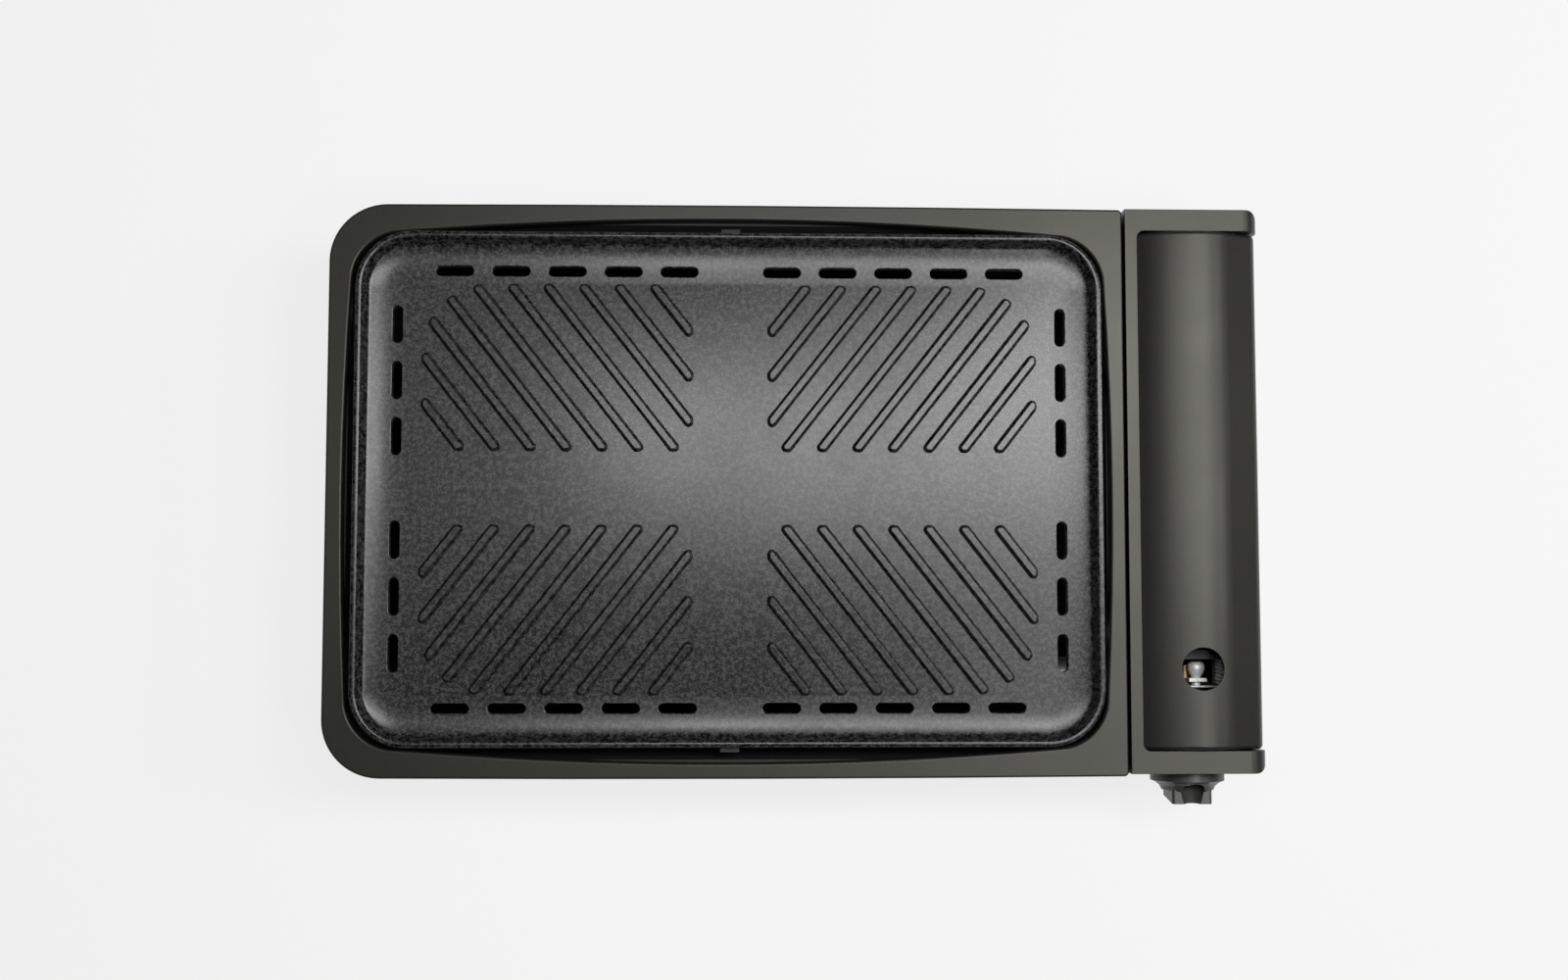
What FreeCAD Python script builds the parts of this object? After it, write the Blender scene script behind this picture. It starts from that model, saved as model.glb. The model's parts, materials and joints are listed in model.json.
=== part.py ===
import FreeCAD, Part
import math
import os
import re
from types import SimpleNamespace

import Sketcher
from FreeCAD import Placement, Rotation, Vector

# Portable gas grill with a lift-out griddle plate, a gas canister bay on the right
# and a drip tray that slides out on the left. Millimetres, +Z up, X to the right, Y to the back.
# The origin is on the table, under the middle of the grill's bounding box.

doc = FreeCAD.newDocument("portable_gas_grill")

# Driving dimensions: name, value, meaning
DIMENSIONS = [
    ("sheet_thickness", 0.8, "outer sheet"),
    ("thin_sheet", 0.5, "liner and tray sheet"),
    ("fit_gap", 0.2, "gap between nested sheets"),
    ("seat_gap", 0.3, "gap between a loose piece and its seat"),
    ("run_gap", 0.05, "radial running clearance of a shaft"),
    ("casing_length", 427.8, "casing along X"),
    ("casing_depth", 307.7, "casing along Y at its middle"),
    ("casing_bow", 0.85, "bow of each long side"),
    ("casing_top", 88, "casing top above the table"),
    ("casing_skirt", 30, "height of the casing skirt"),
    ("seam_skirt", 14, "height of the casing wall beside the canister bay"),
    ("casing_left_radius", 31, "plan radius of the left corners"),
    ("casing_right_radius", 2.5, "plan radius of the right corners"),
    ("casing_edge_radius", 1.1, "radius of the casing's top edge"),
    ("casing_band_x", 8.55, "flat band of the casing left and right of its opening"),
    ("casing_band_y", 8.4, "flat band of the casing in front of and behind the middle of its opening"),
    ("opening_bow_short", 4.8, "bow of the opening's short sides"),
    ("opening_bow_long", 9.8, "bow of the opening's long sides"),
    ("opening_radius", 26.5, "corner radius of the opening"),
    ("opening_shift", 0.55, "opening to the right of the casing's middle"),
    ("hem_depth", 7, "turned-down hem of the casing opening"),
    ("hem_edge_radius", 1.5, "radius of the hem's top edge"),
    ("seam", 1.1, "gap between the casing and the side frame"),
    ("side_length", 74, "canister section along X"),
    ("side_step", 3.2, "canister section shorter than the casing along Y"),
    ("side_shift", 0.65, "canister section behind the casing's middle"),
    ("side_top_height", 90, "side frame top above the table"),
    ("side_skirt", 56, "height of the side frame's outer walls"),
    ("side_seam_skirt", 17, "height of the side frame's wall at the seam"),
    ("side_corner_radius", 7, "plan radius of the side frame's right corners"),
    ("side_round", 10, "radius of the side frame's right top edge"),
    ("side_hem", 6, "hem round the lid"),
    ("lid_strip_width", 6.4, "flange strip left of the lid"),
    ("lid_cap_back", 11.7, "cap behind the lid"),
    ("lid_cap_front", 12, "cap in front of the lid"),
    ("lid_gap_left", 0.9, "gap beside the lid's free edge"),
    ("lid_gap_end", 0.6, "gap at each end of the lid"),
    ("lid_gap_right", 0.2, "lid behind the side frame's right face"),
    ("lid_crest", 95, "lid crest above the table"),
    ("lid_left_arc", 62.8, "radius of the lid's left arc"),
    ("lid_right_arc", 34.1, "radius of the lid's right arc"),
    ("lid_right_turn", 27, "end of the lid's right arc, in degrees from the crest"),
    ("lid_shoulder", 8, "radius from the lid's slope to its right wall"),
    ("lid_end_round", 2.2, "radius of the lid's front and back edges"),
    ("lid_hole_radius", 4, "plan radius of the lid hole's left corners"),
    ("lid_bottom", 44, "lower edge of the lid's wall above the table"),
    ("lid_corner_radius", 3, "plan radius of the lid's corners"),
    ("lid_hem", 7, "hem at each end of the lid"),
    ("window_diameter", 22.9, "round window in the lid"),
    ("window_from_right", 35.7, "window axis from the lid's right face"),
    ("window_from_front", 43.1, "window axis from the lid's front end"),
    ("hinge_inset", 4.6, "hinge axis from the lid's right face"),
    ("hinge_height", 50, "hinge axis above the table"),
    ("hinge_pin_radius", 2, "lid hinge pin"),
    ("hinge_notch", 8, "length of the lid's wall cut away at each hinge"),
    ("hinge_plate", 1.5, "hinge bracket sheet"),
    ("hinge_plate_width", 10, "hinge bracket along X"),
    ("hinge_plate_bottom", 20, "lower end of the hinge brackets"),
    ("hinge_foot", 8, "foot of a hinge bracket along Y"),
    ("ear_width", 8, "lid ear along X"),
    ("foot_height", 8, "rubber foot"),
    ("screw_reach", 2, "foot screw above the pan's floor"),
    ("foot_radius", 9, "rubber foot"),
    ("foot_taper", 1, "rubber foot narrower at its bottom"),
    ("foot_inset", 24, "feet from the pan's walls"),
    ("screw_radius", 2, "foot screw shank"),
    ("screw_head_radius", 3.6, "foot screw head"),
    ("screw_head", 2, "foot screw head height"),
    ("pan_wall_top", 66, "pan walls above the table"),
    ("pan_side_top", 40, "pan wall under the lid above the table"),
    ("vent_length", 18, "vent slot along X"),
    ("vent_height", 5, "vent slot along Z"),
    ("vent_level", 36, "vent slots above the table"),
    ("vent_pitch", 30, "vent slot spacing"),
    ("vent_pairs", 4, "vent slots on each side of the casing's middle"),
    ("plate_gap_x", 6.45, "gap round the griddle plate at the middle of its short sides"),
    ("plate_gap_y", 8.85, "gap round the griddle plate at the middle of its long sides"),
    ("plate_radius", 30, "griddle plate corner radius"),
    ("plate_shift", 1.1, "plate to the right of the casing's middle"),
    ("plate_top", 98, "plate rim above the table"),
    ("rim_width", 3.2, "flat rim"),
    ("rim_height", 5, "rim thickness"),
    ("basin_inset", 3, "outside of the basin inside the rim edge"),
    ("basin_drop", 7.8, "gutter floor below the rim"),
    ("basin_wall", 2.8, "width of the basin's steep wall"),
    ("basin_wall_drop", 6, "height of the basin's steep wall"),
    ("basin_slope", 20.8, "width of the basin's wall with its concave foot"),
    ("plate_floor", 4.5, "thickness of the plate's floor"),
    ("gutter_width", 25.9, "rim edge to the plateau"),
    ("plateau_radius", 14, "corner radius of the plateau"),
    ("plateau_rise", 2.5, "plateau middle above the gutter"),
    ("plateau_edge", 0.4, "plateau edge above the gutter"),
    ("slot_length", 20, "gutter slot"),
    ("slot_width", 5.2, "gutter slot"),
    ("slot_pitch", 30, "gutter slot spacing"),
    ("slot_inset_long", 20.13, "slots of the long sides from the rim edge"),
    ("slot_inset_short", 21.34, "slots of the short sides from the rim edge"),
    ("slot_start_offset", 27.55, "first slot from the plate's middle"),
    ("rib_angle", 52, "ribs to the X axis, in degrees"),
    ("rib_pitch", 19, "rib spacing along X"),
    ("rib_foot", 5.2, "rib width at its foot"),
    ("rib_crown", 3, "rib width at its top"),
    ("rib_height", 3, "rib height above the plateau"),
    ("rib_corner", 1.2, "corner radius of a rib's top"),
    ("rib_block_radius", 36, "rounding of a rib block at its outer corner"),
    ("rib_margin_x", 8.8, "rib blocks from the plateau's short sides"),
    ("rib_margin_y", 1.3, "rib blocks from the plateau's long sides"),
    ("rib_cross_x", 20.2, "half width of the bare band between left and right rib blocks"),
    ("rib_cross_y", 19.8, "half width of the bare band between front and back rib blocks"),
    ("liner_flange", 6, "flange of the chamber liner"),
    ("liner_bottom", 27, "lower edge of the liner above the table"),
    ("liner_corner_radius", 27, "top corner radius of the liner"),
    ("liner_foot_radius", 15, "bottom corner radius of the liner"),
    ("liner_lean_x", 19, "lean of the liner's short walls"),
    ("liner_lean_y", 32.5, "lean of the liner's long walls"),
    ("tray_reach", 4, "tray beyond the liner's outlet on each side"),
    ("tray_bottom", 11.5, "tray underside above the table"),
    ("tray_height", 13.5, "tray height"),
    ("tray_front_thickness", 1.5, "tray front plate"),
    ("tray_front_reach", 1.6, "tray front beyond the tray at its top, bottom and ends"),
    ("finger_notch_length", 60, "finger notch in the tray front's upper edge"),
    ("finger_notch_height", 14, "finger notch in the tray front's upper edge"),
    ("rail_width", 10, "tray rail"),
    ("rail_guide", 2, "upright side of a tray rail"),
    ("rail_height", 6, "upright side of a tray rail"),
    ("rest_width", 14, "plate rest"),
    ("rest_sheet", 1.5, "plate rest sheet"),
    ("rest_leg", 24, "plate rest height"),
    ("rest_finger", 6, "plate rest under the basin"),
    ("tab_leg", 18, "locating tab height"),
    ("rest_spread", 60, "plate rests from the plate's middle"),
    ("tab_width", 10, "locating tab"),
    ("burner_inset_x", 65.05, "burner ring's centre line inside the liner's top edge along X"),
    ("burner_inset_y", 44.65, "burner ring's centre line inside the liner's top edge along Y"),
    ("burner_bend", 35, "burner tube bend"),
    ("burner_radius", 8, "burner tube"),
    ("burner_wall", 1, "burner tube wall"),
    ("burner_height", 50, "burner tube axis above the table"),
    ("port_radius", 1.2, "flame port"),
    ("port_pitch", 12, "flame port spacing"),
    ("mixer_radius", 10, "mixing tube"),
    ("mixer_start", 22, "mixing tube start, left of the ring's right run"),
    ("mixer_overhang", 2.6, "mixing tube past the partition wall"),
    ("shutter_length", 6, "air shutter"),
    ("shutter_wall", 1, "air shutter wall"),
    ("shield_reach_x", 25, "heat shield beyond the ring's centre line along X"),
    ("shield_reach_y", 5, "heat shield beyond the ring's centre line along Y"),
    ("shield_level", 39, "heat shield underside above the table"),
    ("rail_inset", 40, "burner rails inside the ring's short runs"),
    ("burner_rail_width", 12, "burner rail"),
    ("burner_rail_height", 2, "burner rail"),
    ("saddle_width", 10, "burner saddle"),
    ("saddle_length", 14, "burner saddle"),
    ("partition_inset", 3.8, "partition wall left of the casing's right edge"),
    ("wall_hole_gap", 0.5, "gap round a pipe through a wall"),
    ("canister_axis_inset", 36.8, "canister axis from the side frame's right face"),
    ("canister_height", 57.5, "canister axis above the table"),
    ("canister_radius", 33.5, "canister"),
    ("canister_end", 53.6, "canister's valve end from the lid's front end"),
    ("cradle_length", 150, "canister cradle"),
    ("cradle_start", 20, "cradle behind the canister's valve end"),
    ("cradle_half_width", 24, "canister cradle"),
    ("knob_height", 59, "knob axis above the table"),
    ("knob_proud", 17.9, "knob face in front of the side frame"),
    ("knob_skirt_radius", 20, "knob skirt"),
    ("knob_skirt", 4.4, "knob skirt thickness"),
    ("knob_neck", 5.2, "knob flare"),
    ("knob_grip_radius", 14, "knob at the front of its flare"),
    ("knob_grip", 21.8, "side of the knob's square grip"),
    ("knob_corner", 1.6, "corner radius of the knob's grip"),
    ("knob_slant", 3.5, "lower edge of the knob's face behind the upper edge"),
    ("knob_face", 1.6, "front wall of the finger scoop"),
    ("scoop_radius", 6.2, "finger scoop"),
    ("scoop_lean", 27, "finger scoop to the grip's side, in degrees"),
    ("bezel_radius", 22, "knob bezel"),
    ("bezel_flange", 0.8, "knob bezel flange"),
    ("bezel_spigot_radius", 11, "knob bezel spigot"),
    ("bezel_spigot", 2.6, "knob bezel spigot length"),
    ("bezel_hole_gap", 0.6, "bezel hole round the stem"),
    ("stem_radius", 4, "valve stem"),
    ("stem_nose", 5, "stem inside the knob"),
    ("cam_radius", 21, "igniter cam on the stem"),
    ("cam_thickness", 2, "igniter cam"),
    ("cam_setback", 3, "igniter cam behind the front wall"),
    ("governor_radius", 13, "governor body"),
    ("governor_length", 34, "governor body"),
    ("governor_setback", 10.4, "governor body behind the front wall"),
    ("governor_base_half", 13, "governor base half width"),
    ("cover_radius", 15, "governor cover"),
    ("cover_boss_radius", 12.5, "governor boss under its cover"),
    ("cover_thickness", 5, "governor cover"),
    ("cover_screw_radius", 1.4, "governor screw head"),
    ("cover_screw_head", 1.2, "governor screw head"),
    ("bracket_sheet", 2, "governor bracket sheet"),
    ("bracket_half_width", 21.5, "governor bracket half width, outside"),
    ("bracket_top", 72, "governor bracket above the table"),
    ("bracket_foot_length", 10, "foot of the governor bracket along Y"),
    ("magnet_plate", 5, "canister magnet plate"),
    ("magnet_top", 78, "canister magnet plate above the table"),
    ("magnet_bottom", 38, "canister magnet plate above the table"),
    ("magnet_hole_rise", 3, "hole of the magnet plate above the canister axis"),
    ("inlet_radius", 3.6, "gas inlet"),
    ("inlet_length", 12, "gas inlet"),
    ("inlet_depth", 4, "gas inlet inside the governor"),
    ("trip_radius", 4.7, "trip pin cap"),
    ("trip_cap", 11, "trip pin cap length"),
    ("trip_flange", 2, "trip pin flange"),
    ("trip_flange_half", 4.8, "trip pin flange half width"),
    ("trip_stem_radius", 2.5, "trip pin stem"),
    ("trip_stem", 9, "trip pin stem length"),
    ("trip_side", 3.8, "trip pin right of the canister axis"),
    ("trip_rise", 9.2, "trip pin above the canister axis"),
    ("trip_travel", 1.8, "trip pin travel"),
    ("spring_radius", 2.5, "return spring"),
    ("spring_wire", 0.8, "return spring wire"),
    ("spring_side", 17, "return spring right of the canister axis"),
    ("spring_level", 66, "return spring above the table"),
    ("igniter_half_width", 6, "igniter body"),
    ("igniter_length", 26, "igniter body"),
    ("igniter_height", 11, "igniter body"),
    ("plunger_radius", 2.5, "igniter plunger"),
    ("plunger_length", 13, "igniter plunger"),
    ("plunger_travel", 4, "igniter plunger travel"),
    ("lead_radius", 1.2, "igniter lead"),
    ("lead_bend", 9, "igniter lead bend"),
    ("electrode_radius", 1, "electrode"),
    ("electrode_height", 63, "electrode above the table"),
    ("electrode_offset", 24, "electrode behind the mixing tube"),
    ("electrode_gap", 0.8, "electrode right of the ring's centre line"),
    ("ceramic_radius", 3.5, "electrode holder"),
    ("ceramic_inner", 20, "electrode holder inside the partition wall"),
    ("ceramic_block", 4.5, "electrode holder block"),
    ("pipe_radius", 3, "gas pipe"),
    ("pipe_bend", 9, "gas pipe bend"),
    ("pipe_drop", 9, "gas pipe's start below the knob axis"),
    ("nut_length", 5, "pipe nut"),
    ("nut_radius", 5.2, "pipe nut"),
    ("injector_radius", 4.5, "injector"),
    ("injector_gap", 4, "injector body past the mixing tube"),
    ("injector_tip_radius", 2, "injector tip"),
    ("injector_tip", 3, "injector tip"),
    ("injector_body", 11, "injector body"),
    ("nozzle_margin", 4, "nozzle bracket below and in front of the mixing tube"),
    ("catch_width", 16, "lid catch"),
    ("catch_sheet", 1.2, "lid catch sheet"),
    ("catch_tongue", 6, "lid catch tongue"),
    ("clip_width", 14, "casing clip"),
    ("clip_sheet", 1, "casing clip sheet"),
    ("clip_depth", 7, "casing clip"),
    ("clip_spread", 130, "casing clips from the casing's middle"),
]

# Places worked out from the driving dimensions
LAYOUT = [
    ("left_x", "-(casing_length + seam + side_length) / 2"),
    ("casing_right", "left_x + casing_length"),
    ("casing_x", "left_x + casing_length / 2"),
    ("side_left", "casing_right + seam"),
    ("side_right", "side_left + side_length"),
    ("side_depth", "casing_depth - side_step"),
    ("mid_y", "(side_depth / 2 - side_shift + knob_proud - casing_depth / 2) / 2"),
    ("side_y", "mid_y + side_shift"),
    ("front_wall", "side_y - side_depth / 2"),
    ("knob_face_y", "front_wall - knob_proud"),
    ("casing_bottom", "casing_top - casing_skirt"),
    ("side_bottom", "side_top_height - side_skirt"),
    ("opening_x", "casing_x + opening_shift"),
    ("opening_length", "casing_length - 2 * casing_band_x"),
    ("opening_depth", "casing_depth - 2 * casing_band_y"),
    ("strip_edge", "side_left + lid_strip_width"),
    ("cap_front_y", "front_wall + lid_cap_front"),
    ("cap_back_y", "side_y + side_depth / 2 - lid_cap_back"),
    ("lid_left", "strip_edge + lid_gap_left"),
    ("lid_right", "side_right - lid_gap_right"),
    ("lid_crest_x", "lid_right - lid_right_arc"),
    ("lid_front", "cap_front_y + lid_gap_end"),
    ("lid_back", "cap_back_y - lid_gap_end"),
    ("hinge_x", "lid_right - hinge_inset"),
    ("window_x", "lid_right - window_from_right"),
    ("window_y", "lid_front + window_from_front"),
    ("pan_floor", "foot_height + sheet_thickness"),
    ("pan_left", "left_x + sheet_thickness + fit_gap"),
    ("pan_right", "side_right - sheet_thickness - fit_gap"),
    ("straight_half", "min(side_depth / 2 - abs(side_shift); casing_depth / 2 - casing_bow)"),
    ("pan_half", "straight_half - sheet_thickness - fit_gap"),
    ("pan_left_radius", "casing_left_radius - sheet_thickness - fit_gap"),
    ("pan_right_radius", "side_corner_radius - sheet_thickness - fit_gap"),
    ("plate_x", "casing_x + plate_shift"),
    ("plate_length", "opening_length - 2 * plate_gap_x"),
    ("plate_depth", "opening_depth - 2 * plate_gap_y"),
    ("plateau_x", "plate_length / 2 - gutter_width"),
    ("plateau_y", "plate_depth / 2 - gutter_width"),
    ("rib_block_length", "plateau_x - rib_margin_x - rib_cross_x"),
    ("rib_block_depth", "plateau_y - rib_margin_y - rib_cross_y"),
    ("rib_block_x", "rib_cross_x + rib_block_length / 2"),
    ("rib_block_y", "rib_cross_y + rib_block_depth / 2"),
    ("rib_side", "(rib_foot - rib_crown) / 2"),
    ("rim_under", "plate_top - rim_height"),
    ("gutter_z", "plate_top - basin_drop"),
    ("plate_under", "gutter_z - plate_floor"),
    ("liner_top", "casing_top - hem_depth - seat_gap"),
    ("liner_shelf", "liner_top - thin_sheet"),
    ("liner_x", "opening_length / 2 - seat_gap"),
    ("liner_y", "opening_depth / 2 - sheet_thickness"),
    ("outlet_x", "liner_x - liner_lean_x"),
    ("outlet_y", "liner_y - liner_lean_y"),
    ("burner_x", "liner_x - burner_inset_x"),
    ("burner_y", "liner_y - burner_inset_y"),
    ("shield_x", "burner_x + shield_reach_x"),
    ("shield_y", "burner_y + shield_reach_y"),
    ("rail_spacing", "burner_x - rail_inset"),
    ("partition_x", "casing_right - partition_inset"),
    ("partition_face", "partition_x + sheet_thickness"),
    ("tray_half", "outlet_y + tray_reach"),
    ("tray_left", "pan_left + tray_front_thickness"),
    ("tray_right", "opening_x + outlet_x + tray_reach"),
    ("tray_top", "tray_bottom + tray_height"),
    ("notch_level", "tray_top + tray_front_reach"),
    ("tray_front_top", "notch_level + finger_notch_height"),
    ("rail_top", "tray_bottom - seat_gap"),
    ("shield_top", "shield_level + thin_sheet"),
    ("mixer_y", "mid_y - burner_y"),
    ("mixer_end", "partition_face + mixer_overhang"),
    ("canister_x", "side_right - canister_axis_inset"),
    ("canister_y", "lid_front + canister_end"),
    ("magnet_back", "canister_y - seat_gap * 2"),
    ("magnet_front", "magnet_back - magnet_plate"),
    ("governor_front", "front_wall + sheet_thickness + governor_setback"),
    ("governor_back", "governor_front + governor_length"),
    ("governor_base", "knob_height - governor_radius"),
    ("bracket_back", "governor_back + bracket_sheet / 2"),
    ("cam_front", "front_wall + sheet_thickness + cam_setback"),
    ("cam_back", "cam_front + cam_thickness"),
    ("igniter_top", "governor_base"),
    ("igniter_axis", "igniter_top - igniter_height / 2"),
    ("igniter_front", "governor_front + 2 * run_gap"),
    ("plunger_front", "cam_back + seat_gap"),
    ("trip_x", "canister_x + trip_side"),
    ("trip_z", "canister_height + trip_rise"),
    ("trip_seat", "bracket_back + trip_travel + fit_gap"),
    ("injector_start", "mixer_end + injector_gap"),
    ("injector_end", "injector_start + injector_body"),
    ("pipe_x", "injector_end - injector_radius"),
    ("pipe_y", "governor_front + governor_radius"),
    ("pipe_level", "knob_height - pipe_drop"),
    ("pipe_start_x", "canister_x - max(governor_base_half; governor_radius)"),
    ("electrode_line", "mixer_y + electrode_offset"),
    ("foot_left", "pan_left + foot_inset"),
    ("foot_right", "pan_right - foot_inset"),
    ("foot_y", "pan_half - foot_inset"),
]


def make_sheet():
    """Fill the spreadsheet with the driving dimensions."""
    sheet = doc.addObject("Spreadsheet::Sheet", "Sizes")
    for row, (name, number, meaning) in enumerate(DIMENSIONS, start=1):
        sheet.set(f"A{row}", name)
        sheet.set(f"B{row}", str(number))
        sheet.set(f"C{row}", meaning)
        sheet.setAlias(f"B{row}", name)
    return sheet


OWNER = {name: "Sizes." for name, _, _ in DIMENSIONS}
OWNER.update({name: "Layout." for name, _ in LAYOUT})


def bind(thing, prop, text):
    """Bind a property to an expression of size names."""
    owned = re.sub(r"[a-z][a-z_]*", lambda word: OWNER.get(word.group(), "") + word.group(), text)
    thing.setExpression(prop, owned)


make_sheet()
layout = doc.addObject("App::VarSet", "Layout")
for place, formula in LAYOUT:
    layout.addProperty("App::PropertyFloat", place)
    bind(layout, place, formula)
doc.recompute()
dims = SimpleNamespace(**{name: float(doc.Sizes.get(name)) for name, _, _ in DIMENSIONS})
for place, _ in LAYOUT:
    setattr(dims, place, float(getattr(layout, place)))

nodes = {}


def node(name, thing):
    """Give a finished sub-part the label that names its file."""
    thing.Label = name
    nodes[name] = thing
    return thing


def box(name, x, y, z):
    """Box between two bounds on each axis."""
    thing = doc.addObject("Part::Box", name)
    for prop, axis, (low, high) in (("Length", "x", x), ("Width", "y", y), ("Height", "z", z)):
        bind(thing, prop, f"({high}) - ({low})")
        bind(thing, f"Placement.Base.{axis}", low)
    return thing


TURNS = {
    "x": Rotation(Vector(0, 1, 0), 90),
    "y": Rotation(Vector(1, 0, 0), -90),
    "z": Rotation(),
}


def stand(thing, axis, start, middle):
    """Turn a thing's own Z along an axis and place its foot there."""
    thing.Placement = Placement(Vector(), TURNS[axis])
    across = [name for name in "xyz" if name != axis]
    bind(thing, f"Placement.Base.{axis}", start)
    for name, text in zip(across, middle):
        bind(thing, f"Placement.Base.{name}", text)


def rod(name, axis, radius, span, middle):
    """Cylinder along an axis, with its middle on the other two axes."""
    thing = doc.addObject("Part::Cylinder", name)
    bind(thing, "Radius", radius)
    bind(thing, "Height", f"({span[1]}) - ({span[0]})")
    stand(thing, axis, span[0], middle)
    return thing


def cone(name, axis, radii, span, middle):
    """Cone along an axis, from the first radius to the second."""
    thing = doc.addObject("Part::Cone", name)
    bind(thing, "Radius1", radii[0])
    bind(thing, "Radius2", radii[1])
    bind(thing, "Height", f"({span[1]}) - ({span[0]})")
    stand(thing, axis, span[0], middle)
    return thing


def fuse(name, *shapes):
    """Join solids."""
    thing = doc.addObject("Part::MultiFuse", name)
    thing.Shapes = list(shapes)
    return thing


def cut(name, base, *tools):
    """Cut tools out of a solid."""
    thing = doc.addObject("Part::Cut", name)
    thing.Base = base
    thing.Tool = tools[0] if len(tools) == 1 else group(name + "_tools", *tools)
    return thing


def group(name, *shapes):
    """Keep several solids in one object."""
    thing = doc.addObject("Part::Compound", name)
    thing.Links = list(shapes)
    return thing


def outline(body, name, plane, points):
    """Closed polygon sketch on one of the body's own planes, each point bound to sizes."""
    sketch = body.newObject("Sketcher::SketchObject", name)
    planes = {feature.Role: feature for feature in body.Origin.OriginFeatures}
    sketch.AttachmentSupport = (planes[plane], [""])
    sketch.MapMode = "FlatFace"
    count = len(points)
    rough = [(float(index), float(index * index)) for index in range(count)]
    for index in range(count):
        first, second = rough[index], rough[(index + 1) % count]
        sketch.addGeometry(Part.LineSegment(Vector(*first, 0), Vector(*second, 0)), False)
    for index in range(count):
        sketch.addConstraint(Sketcher.Constraint("Coincident", index, 2, (index + 1) % count, 1))
    for index, point in enumerate(points):
        for kind, axis, text in (("DistanceX", -2, point[0]), ("DistanceY", -1, point[1])):
            if text == "0":
                sketch.addConstraint(Sketcher.Constraint("PointOnObject", index, 1, axis))
                continue
            number = sketch.addConstraint(Sketcher.Constraint(kind, index, 1, 1.0))
            bind(sketch, f"Constraints[{number}]", text)
    return sketch


def turned(name, points):
    """Solid of revolution about its own Z; the points are radius and height."""
    body = doc.addObject("PartDesign::Body", name)
    sketch = outline(body, name + "_profile", "XZ_Plane", points)
    feature = body.newObject("PartDesign::Revolution", name + "_turn")
    feature.Profile = sketch
    feature.ReferenceAxis = (sketch, ["V_Axis"])
    feature.Angle = 360
    return body


def padded(name, points, length):
    """Pad of a profile in the XZ plane; it extends both ways along Y."""
    body = doc.addObject("PartDesign::Body", name)
    sketch = outline(body, name + "_profile", "XZ_Plane", points)
    feature = body.newObject("PartDesign::Pad", name + "_pad")
    feature.Profile = sketch
    feature.Midplane = True
    bind(feature, "Length", length)
    return body


def shaped(name, shape):
    """Node whose shape is worked out below from the sheet's sizes."""
    thing = doc.addObject("Part::Feature", name)
    thing.Shape = shape
    thing.Placement = Placement()
    return node(name, thing)


# Helpers for the pressed and cast pieces


def level_edges(shape, level):
    """Edges that lie in a level plane."""
    found = []
    for edge in shape.Edges:
        bounds = edge.BoundBox
        if abs(bounds.ZMin - level) < 0.001 and abs(bounds.ZMax - level) < 0.001:
            found.append(edge)
    return found


def upright_edges(shape, keep):
    """Straight vertical edges whose X passes the test."""
    found = []
    for edge in shape.Edges:
        bounds = edge.BoundBox
        if bounds.XLength < 0.001 and bounds.YLength < 0.001 and bounds.ZLength > 0.001 and keep(bounds.XMin):
            found.append(edge)
    return found


def bowed_block(middle, length, depth, bows, radii, low, high):
    """Block with bowed sides: bows of the short and long sides, corner radii at left and right."""
    x, y = middle
    half_x, half_y = length / 2, depth / 2
    corner_x, corner_y = half_x - bows[0], half_y - bows[1]
    corners = [
        Vector(x - corner_x, y - corner_y, low),
        Vector(x + corner_x, y - corner_y, low),
        Vector(x + corner_x, y + corner_y, low),
        Vector(x - corner_x, y + corner_y, low),
    ]
    middles = [Vector(x, y - half_y, low), Vector(x + half_x, y, low), Vector(x, y + half_y, low),
               Vector(x - half_x, y, low)]
    sides = []
    for index, through in enumerate(middles):
        start, end = corners[index], corners[(index + 1) % 4]
        if (through - (start + end) / 2).Length > 0.001:
            sides.append(Part.Arc(start, through, end).toShape())
        else:
            sides.append(Part.makeLine(start, end))
    block = Part.Face(Part.Wire(sides)).extrude(Vector(0, 0, high - low))
    if radii[0] > 0:
        block = block.makeFillet(radii[0], upright_edges(block, lambda at: at < x))
    if radii[1] > 0:
        block = block.makeFillet(radii[1], upright_edges(block, lambda at: at > x))
    return block


def plain_box(x, y, z):
    """Box between two bounds on each axis, as a shape."""
    return Part.makeBox(x[1] - x[0], y[1] - y[0], z[1] - z[0], Vector(x[0], y[0], z[0]))


def rounded_wire(middle, half_x, half_y, radius, level):
    """Rounded rectangle in a level plane, starting at its front side."""
    block = bowed_block(middle, 2 * half_x, 2 * half_y, (0, 0), (radius, radius), level, level + 1)
    return Part.Wire(Part.__sortEdges__(level_edges(block, level)))


def tapered(middle, lower, upper):
    """Solid between two rounded rectangles: each is half X, half Y, corner radius and level."""
    wires = [rounded_wire(middle, *lower), rounded_wire(middle, *upper)]
    return Part.makeLoft(wires, True, True)


def swept(points, bend, radius):
    """Round bar along straight runs joined by tangent arcs of one radius."""
    edges = []
    start = points[0]
    for before, corner, after in zip(points, points[1:], points[2:]):
        incoming = (corner - before).normalize()
        outgoing = (after - corner).normalize()
        setback = bend * math.tan(incoming.getAngle(outgoing) / 2)
        first = corner - incoming * setback
        last = corner + outgoing * setback
        towards = (outgoing - incoming).normalize()
        reach = math.hypot(bend, setback)
        middle = corner + towards * (reach - bend)
        edges.append(Part.makeLine(start, first))
        edges.append(Part.Arc(first, middle, last).toShape())
        start = last
    if (points[-1] - start).Length > 0.001:
        edges.append(Part.makeLine(start, points[-1]))
    path = Part.Wire(edges)
    section = Part.Wire(Part.makeCircle(radius, points[0], points[1] - points[0]))
    return path.makePipeShell([section], True, False)


# Pressed casing over the burner chamber


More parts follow.
